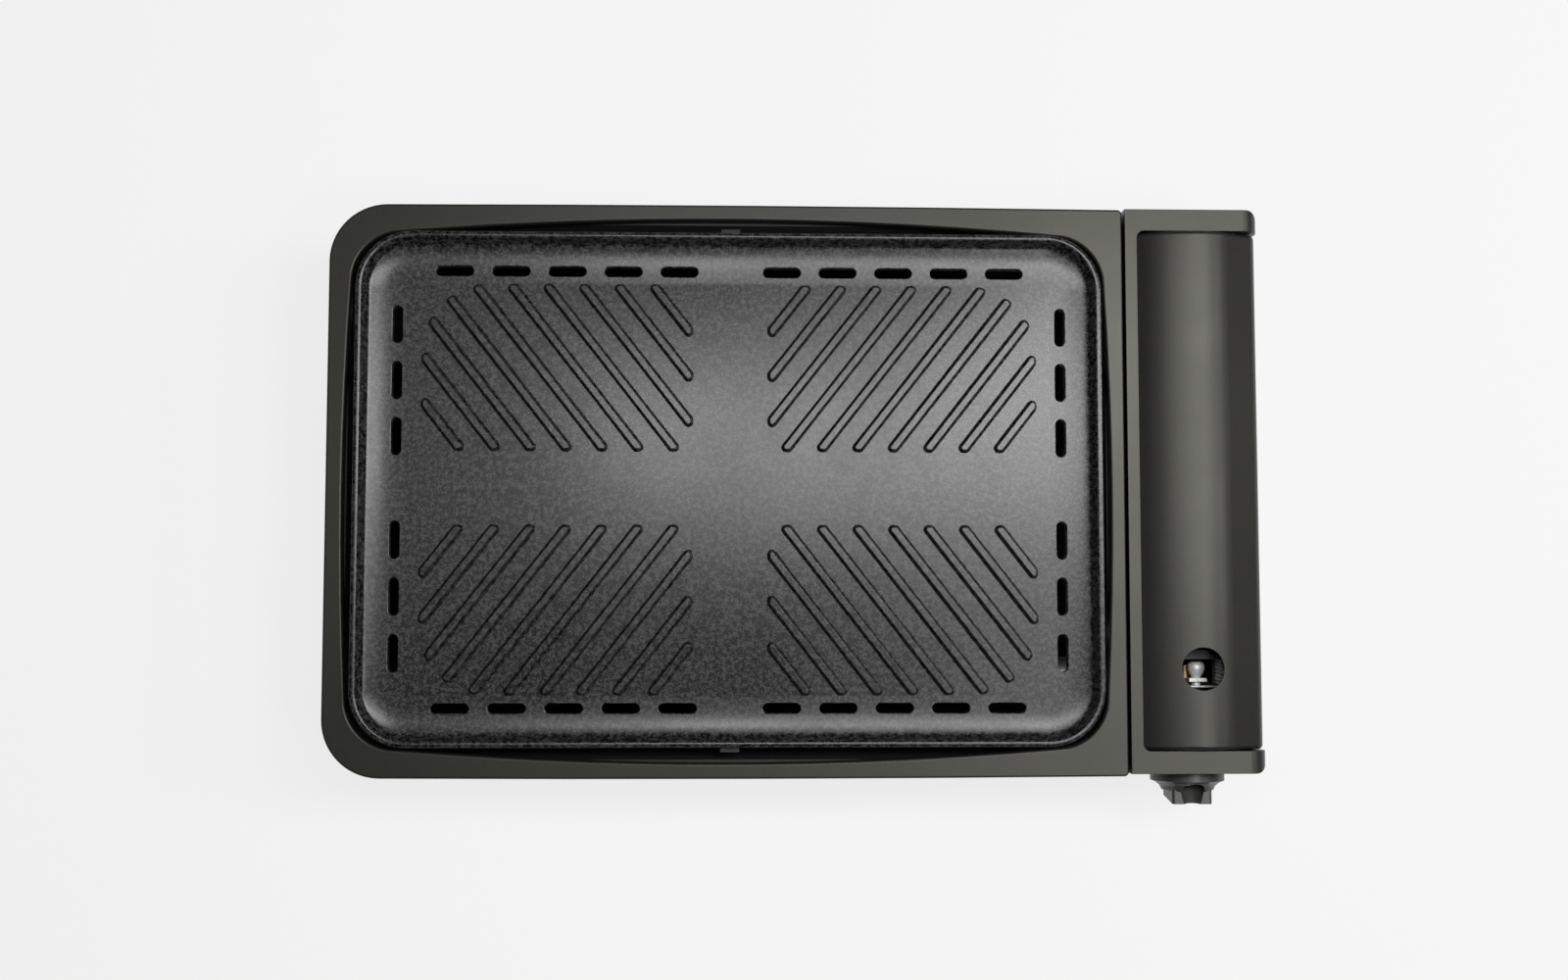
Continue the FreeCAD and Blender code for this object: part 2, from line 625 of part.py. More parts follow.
def casing_block(inset, low):
    """Casing's outer form, shrunk by a sheet's thickness."""
    block = bowed_block(
        (dims.casing_x, dims.mid_y),
        dims.casing_length - 2 * inset,
        dims.casing_depth - 2 * inset,
        (0, dims.casing_bow),
        (dims.casing_left_radius - inset, dims.casing_right_radius - inset),
        low,
        dims.casing_top - inset,
    )
    radius = max(dims.casing_edge_radius - inset, 0.1)
    return block.makeFillet(radius, level_edges(block, dims.casing_top - inset))


def opening_block(grow, low, high):
    """Form of the casing's opening, grown by a sheet's thickness."""
    radius = dims.opening_radius + grow
    return bowed_block(
        (dims.opening_x, dims.mid_y),
        dims.opening_length + 2 * grow,
        dims.opening_depth + 2 * grow,
        (dims.opening_bow_short, dims.opening_bow_long),
        (radius, radius),
        low,
        high,
    )


def make_top_casing():
    sheet = dims.sheet_thickness
    shell = casing_block(0, dims.casing_bottom).cut(casing_block(sheet, dims.casing_bottom - sheet))
    hem = opening_block(sheet, dims.casing_top - dims.hem_depth, dims.casing_top - sheet / 2)
    shell = shell.fuse(hem).cut(opening_block(0, dims.casing_bottom, dims.casing_top + sheet))
    bay_side = plain_box(
        (dims.casing_right - 2 * sheet, dims.casing_right + sheet),
        (dims.mid_y - dims.casing_depth, dims.mid_y + dims.casing_depth),
        (dims.casing_bottom - sheet, dims.casing_top - dims.seam_skirt),
    )
    shell = shell.cut(bay_side).removeSplitter()
    edges = []
    for edge in level_edges(shell, dims.casing_top):
        if abs(edge.CenterOfMass.x - dims.opening_x) < dims.opening_length / 2 + sheet \
                and abs(edge.CenterOfMass.y - dims.mid_y) < dims.opening_depth / 2 + sheet:
            edges.append(edge)
    return shell.makeFillet(dims.hem_edge_radius, edges)


# Fixed frame of the canister section


def side_block(inset, low):
    """Side frame's outer form, shrunk by a sheet's thickness."""
    left, right = dims.side_left + inset, dims.side_right - inset
    middle = ((left + right) / 2, dims.side_y)
    radius = dims.side_corner_radius - inset if inset < dims.side_corner_radius else 0
    plan = bowed_block(middle, right - left, dims.side_depth - 2 * inset, (0, 0), (0, radius), low,
                       dims.side_top_height - inset)
    round_radius = max(dims.side_round - inset, 1)
    profile = Part.makeBox(right - left, dims.side_depth, dims.side_top_height - inset - low,
                           Vector(left, dims.side_y - dims.side_depth / 2, low))
    edges = []
    for edge in level_edges(profile, dims.side_top_height - inset):
        if edge.BoundBox.YLength > 1 and edge.BoundBox.XMin > middle[0]:
            edges.append(edge)
    return plan.common(profile.makeFillet(round_radius, edges))


def hole_block(grow, low, high):
    """Form of the lid's hole, grown by a sheet's thickness; it is open to the right."""
    left, right = dims.strip_edge - grow, dims.side_right + dims.lid_hole_radius
    middle = ((left + right) / 2, (dims.cap_front_y + dims.cap_back_y) / 2)
    depth = dims.cap_back_y - dims.cap_front_y + 2 * grow
    return bowed_block(middle, right - left, depth, (0, 0), (dims.lid_hole_radius + grow, 0), low, high)


def make_side_frame():
    sheet = dims.sheet_thickness
    outer = side_block(0, dims.side_bottom)
    shell = outer.cut(side_block(sheet, dims.side_bottom - sheet))
    above = dims.side_top_height + sheet
    seam_cut = plain_box(
        (dims.side_left - sheet, dims.side_left + 2 * sheet),
        (dims.front_wall + sheet, dims.side_y + dims.side_depth / 2 - sheet),
        (dims.side_bottom - sheet, dims.side_top_height - dims.side_seam_skirt),
    )
    hem_low = dims.pan_side_top + dims.fit_gap
    hem = hole_block(sheet, hem_low, above).cut(hole_block(0, hem_low - sheet, above + sheet))
    hem_left = plain_box(
        (dims.side_left, dims.strip_edge + dims.lid_hole_radius),
        (dims.front_wall, dims.side_y + dims.side_depth / 2),
        (dims.side_bottom, dims.side_top_height - dims.side_hem),
    )
    band = outer.cut(side_block(dims.side_hem, dims.side_bottom - sheet))
    knob_hole = Part.makeCylinder(
        dims.bezel_spigot_radius + dims.fit_gap, 3 * sheet,
        Vector(dims.canister_x, dims.front_wall - sheet, dims.knob_height), Vector(0, 1, 0))
    shell = shell.cut([hole_block(0, dims.side_bottom - sheet, above), seam_cut])
    return shell.fuse(hem.common(band).cut(hem_left)).cut(knob_hole).removeSplitter()


# Domed lid of the canister bay


def lid_curve(inset):
    """Edges of the lid's section in the XZ plane, at an inset from its outer face, from left to right."""
    crest_x, crest = dims.lid_crest_x, dims.lid_crest
    lean = math.asin((crest_x - dims.lid_left) / dims.lid_left_arc)
    turn = math.radians(dims.lid_right_turn)
    quarter = math.pi / 2

    def on_arc(centre, angle, radius):
        return centre + Vector(math.sin(angle), 0, math.cos(angle)) * radius

    left_centre = Vector(crest_x, 0, crest - dims.lid_left_arc)
    right_centre = Vector(crest_x, 0, crest - dims.lid_right_arc)
    left, right = dims.lid_left_arc - inset, dims.lid_right_arc - inset
    slope_end = on_arc(right_centre, turn, dims.lid_right_arc)
    drop = (dims.lid_right - slope_end.x) * math.tan(turn)
    shoulder_z = slope_end.z - drop - dims.lid_shoulder * math.tan((quarter - turn) / 2)
    shoulder_centre = Vector(dims.lid_right - dims.lid_shoulder, 0, shoulder_z)
    shoulder = dims.lid_shoulder - inset
    wall_foot = Vector(dims.lid_right - inset, 0, dims.lid_bottom)
    edges = [
        Part.Arc(on_arc(left_centre, -lean, left), on_arc(left_centre, -lean / 2, left),
                 on_arc(left_centre, 0, left)).toShape(),
        Part.Arc(on_arc(right_centre, 0, right), on_arc(right_centre, turn / 2, right),
                 on_arc(right_centre, turn, right)).toShape(),
    ]
    if shoulder > dims.run_gap:
        start, end = on_arc(shoulder_centre, turn, shoulder), on_arc(shoulder_centre, quarter, shoulder)
        through = on_arc(shoulder_centre, (turn + quarter) / 2, shoulder)
        edges.append(Part.makeLine(on_arc(right_centre, turn, right), start))
        edges.append(Part.Arc(start, through, end).toShape())
        edges.append(Part.makeLine(end, wall_foot))
    else:
        corner = on_arc(right_centre, turn, right)
        corner = Vector(wall_foot.x, 0, corner.z - (wall_foot.x - corner.x) * math.tan(turn))
        edges.append(Part.makeLine(on_arc(right_centre, turn, right), corner))
        edges.append(Part.makeLine(corner, wall_foot))
    return edges


def lid_block(inset, front, back):
    """Everything under the lid's curve between two places along Y, down to the lid's lower edge."""
    edges = lid_curve(inset)
    start = edges[0].Vertexes[0].Point
    tip = lid_curve(0)[0].Vertexes[0].Point
    beside = tip.x - inset
    points = [edges[-1].Vertexes[-1].Point, Vector(beside, 0, dims.lid_bottom), Vector(beside, 0, tip.z)]
    if inset > 0:
        points += [tip, start]
    edges += [Part.makeLine(one, two) for one, two in zip(points, points[1:])]
    face = Part.Face(Part.Wire(edges))
    face.translate(Vector(0, front, 0))
    return face.extrude(Vector(0, back - front, 0))


def rounded_lid(inset):
    """Lid's form with rounded front and back edges, shrunk by a sheet's thickness."""
    front, back = dims.lid_front + inset, dims.lid_back - inset
    block = lid_block(inset, front, back)
    edges = []
    for edge in block.Edges:
        bounds = edge.BoundBox
        at_end = abs(bounds.YMin - front) < 0.001 or abs(bounds.YMax - back) < 0.001
        on_dome = bounds.ZMax > dims.lid_bottom + 1 and bounds.XMax > dims.lid_left + 2
        if at_end and on_dome and bounds.YLength < 0.001:
            edges.append(edge)
    return block.makeFillet(dims.lid_end_round - inset, edges)


def make_canister_lid():
    sheet = dims.sheet_thickness
    outer = rounded_lid(0)
    hem_space = lid_block(dims.lid_hem, dims.lid_front - sheet, dims.lid_back + sheet)
    lid = outer.cut([rounded_lid(sheet), hem_space])
    notch_top = dims.hinge_height + dims.hinge_pin_radius + dims.lid_hem
    notches = []
    ears = []
    for end, way in ((dims.lid_front, 1), (dims.lid_back, -1)):
        near, far = sorted((end - way, end + way * dims.hinge_notch))
        notches.append(plain_box((dims.hinge_x - dims.lid_hem, dims.side_right + sheet), (near, far),
                                 (0, notch_top)))
        start = end + way * dims.hinge_notch
        near, far = sorted((start, start + way * sheet))
        ears.append(plain_box((dims.hinge_x - dims.ear_width / 2, dims.lid_right - sheet / 2), (near, far),
                              (dims.lid_bottom, notch_top + dims.ear_width)))
    middle = ((dims.lid_left + dims.lid_right) / 2, (dims.lid_front + dims.lid_back) / 2)
    corners = (dims.lid_corner_radius, dims.lid_corner_radius)
    plan = bowed_block(middle, dims.lid_right - dims.lid_left, dims.lid_back - dims.lid_front, (0, 0), corners,
                       0, dims.lid_crest + 1)
    pins = Part.makeCylinder(dims.hinge_pin_radius + dims.run_gap, dims.lid_back - dims.lid_front,
                             Vector(dims.hinge_x, dims.lid_front, dims.hinge_height), Vector(0, 1, 0))
    window = Part.makeCylinder(dims.window_diameter / 2, dims.lid_crest,
                               Vector(dims.window_x, dims.window_y, dims.hinge_height + dims.lid_hem))
    return lid.cut(notches).fuse(ears).common(plan).cut([window, pins]).removeSplitter()


# Lower body


def make_base_pan():
    sheet = dims.sheet_thickness
    middle_x = (dims.pan_left + dims.pan_right) / 2
    length = dims.pan_right - dims.pan_left
    radii = (dims.pan_left_radius, dims.pan_right_radius)
    outer = bowed_block((middle_x, dims.mid_y), length, 2 * dims.pan_half, (0, 0), radii, dims.foot_height,
                        dims.pan_wall_top)
    inner = bowed_block((middle_x, dims.mid_y), length - 2 * sheet, 2 * (dims.pan_half - sheet), (0, 0),
                        (radii[0] - sheet, radii[1] - sheet), dims.pan_floor, dims.pan_wall_top + sheet)
    cuts = [
        plain_box((dims.pan_right - dims.pan_right_radius - sheet, dims.side_right),
                  (dims.cap_front_y - sheet - dims.fit_gap, dims.cap_back_y + sheet + dims.fit_gap),
                  (dims.pan_side_top, dims.side_top_height)),
        plain_box((dims.left_x, dims.pan_left + 2 * sheet),
                  (dims.mid_y - dims.tray_half - dims.tray_front_reach - dims.seat_gap,
                   dims.mid_y + dims.tray_half + dims.tray_front_reach + dims.seat_gap),
                  (dims.tray_bottom - dims.tray_front_reach, dims.tray_front_top + dims.seat_gap)),
    ]
    front = dims.mid_y - dims.pan_half
    clear = dims.bezel_spigot_radius + 1
    cuts.append(Part.makeCylinder(clear, 4 * sheet, Vector(dims.canister_x, front - sheet, dims.knob_height),
                                  Vector(0, 1, 0)))
    cuts.append(plain_box((dims.canister_x - clear, dims.canister_x + clear),
                          (front - sheet, front + 2 * sheet), (dims.knob_height, dims.side_top_height)))
    pairs = round(dims.vent_pairs)
    for index in range(-pairs, pairs):
        start = dims.casing_x + (index + 0.5) * dims.vent_pitch - dims.vent_length / 2
        for wall in (front, dims.mid_y + dims.pan_half):
            cuts.append(plain_box((start, start + dims.vent_length), (wall - 2 * sheet, wall + 2 * sheet),
                                  (dims.vent_level, dims.vent_level + dims.vent_height)))
    for x in (dims.foot_left, dims.foot_right):
        for side in (-1, 1):
            cuts.append(Part.makeCylinder(dims.screw_radius + dims.run_gap, dims.pan_floor,
                                          Vector(x, dims.mid_y + side * dims.foot_y, sheet)))
    return outer.cut(inner).cut(cuts)


def make_chamber_liner():
    sheet = dims.thin_sheet
    middle = (dims.opening_x, dims.mid_y)
    top = (dims.liner_x, dims.liner_y, dims.liner_corner_radius, dims.liner_top)
    foot = (dims.outlet_x, dims.outlet_y, dims.liner_foot_radius, dims.liner_bottom)
    inner_top = (top[0] - sheet, top[1] - sheet, top[2] - sheet, top[3])
    inner_foot = (foot[0] - sheet, foot[1] - sheet, foot[2] - sheet, foot[3])
    wall = tapered(middle, foot, top).cut(tapered(middle, inner_foot, inner_top))
    flange = bowed_block(middle, 2 * (top[0] + dims.liner_flange), 2 * (top[1] + dims.liner_flange), (0, 0),
                         (top[2] + dims.liner_flange,) * 2, dims.liner_shelf, dims.liner_top)
    hole = bowed_block(middle, 2 * inner_top[0], 2 * inner_top[1], (0, 0), (inner_top[2],) * 2,
                       dims.liner_shelf - 1, dims.liner_top + 1)
    mixer_hole = Part.makeCylinder(
        dims.mixer_radius + dims.wall_hole_gap, dims.partition_x - dims.opening_x,
        Vector(dims.opening_x + dims.burner_x, dims.mixer_y, dims.burner_height), Vector(1, 0, 0))
    ceramic_hole = Part.makeCylinder(
        dims.ceramic_radius + dims.wall_hole_gap, dims.partition_x - dims.opening_x,
        Vector(dims.opening_x + dims.burner_x, dims.electrode_line, dims.electrode_height), Vector(1, 0, 0))
    return wall.fuse(flange.cut(hole)).cut([mixer_hole, ceramic_hole])


# Cast griddle plate


def plate_block(inset, low, high):
    """Plate's plan form, shrunk by an inset."""
    radius = max(dims.plate_radius - inset, dims.plateau_radius)
    return bowed_block((dims.plate_x, dims.mid_y), dims.plate_length - 2 * inset, dims.plate_depth - 2 * inset,
                       (0, 0), (radius, radius), low, high)


def plate_loop(inset, level):
    """Half X, half Y, corner radius and level of the plate's plan form at an inset."""
    radius = max(dims.plate_radius - inset, dims.plateau_radius)
    return (dims.plate_length / 2 - inset, dims.plate_depth / 2 - inset, radius, level)


def crown_height(x, y):
    """Height of the crowned plateau at a place measured from the plate's middle."""
    fall = (dims.plateau_rise - dims.plateau_edge) / 2
    drop = fall * ((x / dims.plateau_x) ** 2 + (y / dims.plateau_y) ** 2)
    return dims.gutter_z + dims.plateau_rise - drop


def crowned_plateau():
    """Plateau with a doubly curved top, cut from a patch swung about a far axis."""
    fall = (dims.plateau_rise - dims.plateau_edge) / 2
    far_x = dims.plateau_x ** 2 / (2 * fall)
    top = dims.gutter_z + dims.plateau_rise
    wide = dims.plateau_y + 1
    edge_level = crown_height(0, wide)
    low = dims.gutter_z - 1
    root = dims.gutter_z - dims.plate_floor
    x, y = dims.plate_x, dims.mid_y
    profile = Part.Wire([
        Part.Arc(Vector(x, y - wide, edge_level), Vector(x, y, top), Vector(x, y + wide, edge_level)).toShape(),
        Part.makeLine(Vector(x, y + wide, edge_level), Vector(x, y + wide, root)),
        Part.makeLine(Vector(x, y + wide, root), Vector(x, y - wide, root)),
        Part.makeLine(Vector(x, y - wide, root), Vector(x, y - wide, edge_level)),
    ])
    swing = math.degrees((dims.plateau_x + 2) / far_x)
    hub = Vector(x, y, top - far_x)
    section = Part.Face(profile)
    section.rotate(hub, Vector(0, 1, 0), -swing)
    dome = section.revolve(hub, Vector(0, 1, 0), 2 * swing)
    return dome.common(plate_block(dims.gutter_width, low, top + 1))


def clipped(points, normal, limit):
    """Part of a convex outline on the inner side of a line."""
    kept = []
    for one, two in zip(points, points[1:] + points[:1]):
        before = one[0] * normal[0] + one[1] * normal[1] - limit
        after = two[0] * normal[0] + two[1] * normal[1] - limit
        if before <= 0:
            kept.append(one)
        if before * after < 0:
            share = before / (before - after)
            kept.append((one[0] + share * (two[0] - one[0]), one[1] + share * (two[1] - one[1])))
    return kept


def rib_core(offset, shrink):
    """Outline of one rib in its block, shrunk on all sides; the block's outer corner is at high X and Y."""
    angle = math.radians(dims.rib_angle)
    half_x, half_y = dims.rib_block_length / 2 - shrink, dims.rib_block_depth / 2 - shrink
    half_rib = dims.rib_foot / 2 - shrink
    across = (math.sin(angle), -math.cos(angle))
    middle = offset * across[0]
    points = [(-half_x, -half_y), (half_x, -half_y), (half_x, half_y), (-half_x, half_y)]
    points = clipped(points, across, middle + half_rib)
    if points:
        points = clipped(points, (-across[0], -across[1]), half_rib - middle)
    if not points:
        return []
    round_x = dims.rib_block_length / 2 - dims.rib_block_radius
    round_y = dims.rib_block_depth / 2 - dims.rib_block_radius
    along = (math.cos(angle), math.sin(angle))
    from_round = (offset - round_x, -round_y)
    half_way = from_round[0] * along[0] + from_round[1] * along[1]
    beyond = half_way ** 2 - from_round[0] ** 2 - from_round[1] ** 2 + dims.rib_block_radius ** 2
    if beyond > 0:
        reach = math.sqrt(beyond) - half_way
        meeting = (from_round[0] + reach * along[0], from_round[1] + reach * along[1])
        if min(meeting) > 0:
            normal = (meeting[0] / dims.rib_block_radius, meeting[1] / dims.rib_block_radius)
            limit = dims.rib_block_radius - shrink + round_x * normal[0] + round_y * normal[1]
            points = clipped(points, normal, limit)
    return points


def round_loop(points, radius, level):
    """Wire round an outline, at a distance from it, with rounded corners."""
    edges = []
    count = len(points)
    ways = []
    for index in range(count):
        one, two = points[index], points[(index + 1) % count]
        length = math.dist(one, two)
        ways.append(((two[1] - one[1]) / length, (one[0] - two[0]) / length))
    for index in range(count):
        here, after = points[index], points[(index + 1) % count]
        before_way, way = ways[index - 1], ways[index]
        middle = (before_way[0] + way[0], before_way[1] + way[1])
        size = math.hypot(*middle)
        corner = [Vector(here[0] + radius * x, here[1] + radius * y, level)
                  for x, y in (before_way, (middle[0] / size, middle[1] / size), way)]
        edges.append(Part.Arc(*corner).toShape())
        end = Vector(after[0] + radius * way[0], after[1] + radius * way[1], level)
        edges.append(Part.makeLine(corner[2], end))
    return Part.Wire(edges)


def make_ribs():
    """Four blocks of slanting ribs, mirrored about the plate's middle lines."""
    shrink = dims.rib_side + dims.rib_corner
    reach = dims.rib_block_length / 2 + dims.rib_block_depth / 2 / math.tan(math.radians(dims.rib_angle))
    pairs = math.ceil(reach / dims.rib_pitch)
    ribs = []
    for index in range(-pairs, pairs):
        core = rib_core((index + 0.5) * dims.rib_pitch, shrink)
        lengths = [math.dist(one, two) for one, two in zip(core, core[1:] + core[:1])]
        if not core or max(lengths) < 2 * dims.rib_foot:
            continue
        core = [point for point, length in zip(core, lengths) if length > dims.run_gap]
        for flip_x in (-1, 1):
            for flip_y in (-1, 1):
                points = [(dims.plate_x + flip_x * (dims.rib_block_x + x),
                           dims.mid_y + flip_y * (dims.rib_block_y + y)) for x, y in core]
                if flip_x * flip_y < 0:
                    points.reverse()
                middle = [sum(values) / len(values) for values in zip(*points)]
                top = crown_height(middle[0] - dims.plate_x, middle[1] - dims.mid_y) + dims.rib_height
                base = dims.gutter_z - 1
                spread = dims.rib_corner + dims.rib_side * (top - base) / dims.rib_height
                wires = [round_loop(points, spread, base), round_loop(points, dims.rib_corner, top)]
                ribs.append(Part.makeLoft(wires, True, True))
    return ribs


def long_loop(start, end, radius, level):
    """Long rounded loop about a straight middle line."""
    along = (end - start).normalize()
    side = Vector(-along.y, along.x, 0) * radius
    rise = Vector(0, 0, level)
    points = [start + side, end + side, end + along * radius, end - side, start - side, start - along * radius]
    left, right, tip, back_right, back_left, heel = [point + rise for point in points]
    return Part.Wire([
        Part.makeLine(left, right),
        Part.Arc(right, tip, back_right).toShape(),
        Part.makeLine(back_right, back_left),
        Part.Arc(back_left, heel, left).toShape(),
    ])


def make_slots():
    """Slots of the gutter, as solids that cut through the floor."""
    half, radius = dims.slot_length / 2 - dims.slot_width / 2, dims.slot_width / 2
    low = dims.plate_under - 1
    height = dims.plate_floor + 3
    slots = []
    rows = []
    first = dims.plate_radius + dims.slot_start_offset
    for index in range(1 + int((dims.plate_length / 2 - first) / dims.slot_pitch)):
        along = dims.slot_start_offset + index * dims.slot_pitch
        rows += [(side_x * along, side_y * (dims.plate_depth / 2 - dims.slot_inset_long), Vector(half, 0, 0))
                 for side_x in (-1, 1) for side_y in (-1, 1)]
    for index in range(1 + int((dims.plate_depth / 2 - first) / dims.slot_pitch)):
        along = dims.slot_start_offset + index * dims.slot_pitch
        rows += [(side_x * (dims.plate_length / 2 - dims.slot_inset_short), side_y * along, Vector(0, half, 0))
                 for side_x in (-1, 1) for side_y in (-1, 1)]
    for x, y, reach in rows:
        middle = Vector(dims.plate_x + x, dims.mid_y + y, 0)
        loop = long_loop(middle - reach, middle + reach, radius, low)
        slots.append(Part.Face(loop).extrude(Vector(0, 0, height)))
    return slots


def make_grill_plate():
    middle = (dims.plate_x, dims.mid_y)
    rim = plate_block(0, dims.rim_under, dims.plate_top)
    body = plate_block(dims.basin_inset, dims.plate_under, dims.rim_under + 1)
    hollow = dims.basin_slope - dims.basin_wall
    fall = dims.basin_drop - dims.basin_wall_drop
    slope = [(dims.rim_width, dims.plate_top + 1), (dims.rim_width, dims.plate_top)]
    for across, down in ((0, 0), (0.17, 0.39), (0.33, 0.66), (0.61, 0.9), (1, 1)):
        slope.append((dims.rim_width + dims.basin_wall + across * hollow,
                      dims.plate_top - dims.basin_wall_drop - down * fall))
    plate = rim.fuse(body)
    for upper, lower in zip(slope, slope[1:]):
        plate = plate.cut(tapered(middle, plate_loop(*lower), plate_loop(*upper)))
    plate = plate.fuse([crowned_plateau()] + make_ribs())
    return plate.cut(make_slots())


# Burner


def make_burner_tube():
    """Closed ring of tube with a row of flame ports on its straight runs."""
    x, y, z = dims.opening_x, dims.mid_y, dims.burner_height
    ring = rounded_wire((x, y), dims.burner_x, dims.burner_y, dims.burner_bend, z)
    start = ring.Edges[0].Vertexes[0].Point
    way = ring.Edges[0].tangentAt(ring.Edges[0].FirstParameter)

    def pipe(radius):
        return ring.makePipeShell([Part.Wire(Part.makeCircle(radius, start, way))], True, False)

    tube = pipe(dims.burner_radius).cut(pipe(dims.burner_radius - dims.burner_wall))
    ports = []
    for reach, across, swap in ((dims.burner_x, dims.burner_y, False), (dims.burner_y, dims.burner_x, True)):
        count = int((reach - dims.burner_bend) / dims.port_pitch)
        for index in range(-count, count + 1):
            for side in (-1, 1):
                along, off = index * dims.port_pitch, side * across
                px, py = (off, along) if swap else (along, off)
                foot = Vector(x + px, y + py, z)
                ports.append(Part.makeCylinder(dims.port_radius, dims.burner_radius + 1, foot))
    return tube.cut(ports), pipe(dims.burner_radius)


def make_mixing_tube(ring):
    start = dims.opening_x + dims.burner_x - dims.mixer_start
    length = dims.mixer_end - start
    foot = Vector(start, dims.mixer_y, dims.burner_height)
    tube = Part.makeCylinder(dims.mixer_radius, length, foot, Vector(1, 0, 0))
    bore = Part.makeCylinder(dims.mixer_radius - dims.burner_wall, length, foot, Vector(1, 0, 0))
    pieces = tube.cut(bore).cut(ring).Solids
    return max(pieces, key=lambda piece: piece.Volume)


shaped("base_pan", make_base_pan())
shaped("top_casing", make_top_casing())
shaped("side_frame", make_side_frame())
shaped("canister_lid", make_canister_lid())
shaped("chamber_liner", make_chamber_liner())
shaped("grill_plate", make_grill_plate())
burner, burner_solid = make_burner_tube()
shaped("burner_tube", burner)
shaped("mixing_tube", make_mixing_tube(burner_solid))

# Wall between the chamber and the canister bay
wall_front = "mid_y - pan_half + sheet_thickness"
wall_back = "mid_y + pan_half - sheet_thickness"
wall = box("partition_sheet", ("partition_x", "partition_face"), (wall_front, wall_back),
           ("pan_floor", "liner_shelf - fit_gap"))
through = ("partition_x - 1", "partition_face + 1")
mixer_hole = rod("partition_mixer_hole", "x", "mixer_radius + wall_hole_gap", through,
                 ("mixer_y", "burner_height"))
ceramic_hole = rod("partition_ceramic_hole", "x", "ceramic_radius + run_gap", through,
                   ("electrode_line", "electrode_height"))
node("partition_wall", cut("partition", wall, mixer_hole, ceramic_hole))

# Air shutter round the mixing tube's mouth, with the nozzle in front of it
mixer_line = ("mixer_y", "burner_height")
shutter = rod("shutter_outer", "x", "mixer_radius + run_gap + shutter_wall",
              ("partition_face + seat_gap", "partition_face + seat_gap + shutter_length"), mixer_line)
shutter_bore = rod("shutter_bore", "x", "mixer_radius + run_gap",
                   ("partition_face", "partition_face + 2 * shutter_length"), mixer_line)
shutter_window = box("shutter_window", ("mixer_end", "partition_face + 2 * shutter_length"),
                     ("mixer_y - mixer_radius / 2", "mixer_y + mixer_radius / 2"),
                     ("burner_height - 2 * mixer_radius", "burner_height + 2 * mixer_radius"))
node("air_shutter", cut("air_shutter_ring", shutter, shutter_bore, shutter_window))

injector = rod("injector_hex", "x", "injector_radius", ("injector_start", "injector_end"), mixer_line)
tip = cone("injector_tip_cone", "x", ("injector_tip_radius / 2", "injector_tip_radius"),
           ("injector_start - injector_tip", "injector_start"), mixer_line)
node("injector_nozzle", fuse("injector", injector, tip))

holder_plate = box("nozzle_plate", ("injector_start", "injector_start + sheet_thickness"),
                   ("mixer_y - mixer_radius - nozzle_margin", "mixer_y + mixer_radius + nozzle_margin / 2"),
                   ("burner_height - mixer_radius - nozzle_margin",
                    "burner_height + mixer_radius - nozzle_margin"))
holder_leg = box("nozzle_leg", ("partition_face", "injector_start + sheet_thickness"),
                 ("mixer_y - mixer_radius - nozzle_margin", "mixer_y + mixer_radius + nozzle_margin / 2"),
                 ("burner_height - mixer_radius - nozzle_margin",
                  "burner_height - mixer_radius - nozzle_margin + sheet_thickness"))
holder_hole = rod("nozzle_hole", "x", "injector_radius + run_gap", ("injector_start - 1", "injector_end"),
                  mixer_line)
node("nozzle_bracket", cut("nozzle_holder", fuse("nozzle_angle", holder_plate, holder_leg), holder_hole))

# Heat shield on two rails, and the saddles that hold the burner
node("heat_shield", box("shield", ("opening_x - shield_x", "opening_x + shield_x"),
                        ("mid_y - shield_y", "mid_y + shield_y"), ("shield_level", "shield_top")))


rail_reach = ("liner_y - thin_sheet - fit_gap - (liner_top - shield_level + burner_rail_height)"
              " * liner_lean_y / (liner_top - liner_bottom)")
rails = []
saddles = []
for side, sign in (("left", "-"), ("right", "+")):
    middle = f"opening_x {sign} rail_spacing"
    rails.append(box(f"rail_{side}", (f"{middle} - burner_rail_width / 2", f"{middle} + burner_rail_width / 2"),
                     (f"mid_y - ({rail_reach})", f"mid_y + ({rail_reach})"),
                     ("shield_level - burner_rail_height", "shield_level")))
    for place, way in (("front", "-"), ("back", "+")):
        y = f"mid_y {way} burner_y"
        name = f"saddle_{side}_{place}"
        block = box(name + "_block", (f"{middle} - saddle_width / 2", f"{middle} + saddle_width / 2"),
                    (f"{y} - saddle_length / 2", f"min({y} + saddle_length / 2; mid_y + shield_y)"
                     if way == "+" else f"{y} + saddle_length / 2"),
                    ("shield_top", "burner_height - burner_radius / 2"))
        if way == "-":
            bind(block, "Placement.Base.y", f"max({y} - saddle_length / 2; mid_y - shield_y)")
            bind(block, "Width", f"{y} + saddle_length / 2 - max({y} - saddle_length / 2; mid_y - shield_y)")
        groove = rod(name + "_groove", "x", "burner_radius + run_gap",
                     (f"{middle} - saddle_width", f"{middle} + saddle_width"), (y, "burner_height"))
        saddles.append(cut(name, block, groove))
node("burner_rails", group("rails", *rails))
node("burner_brackets", group("saddles", *saddles))

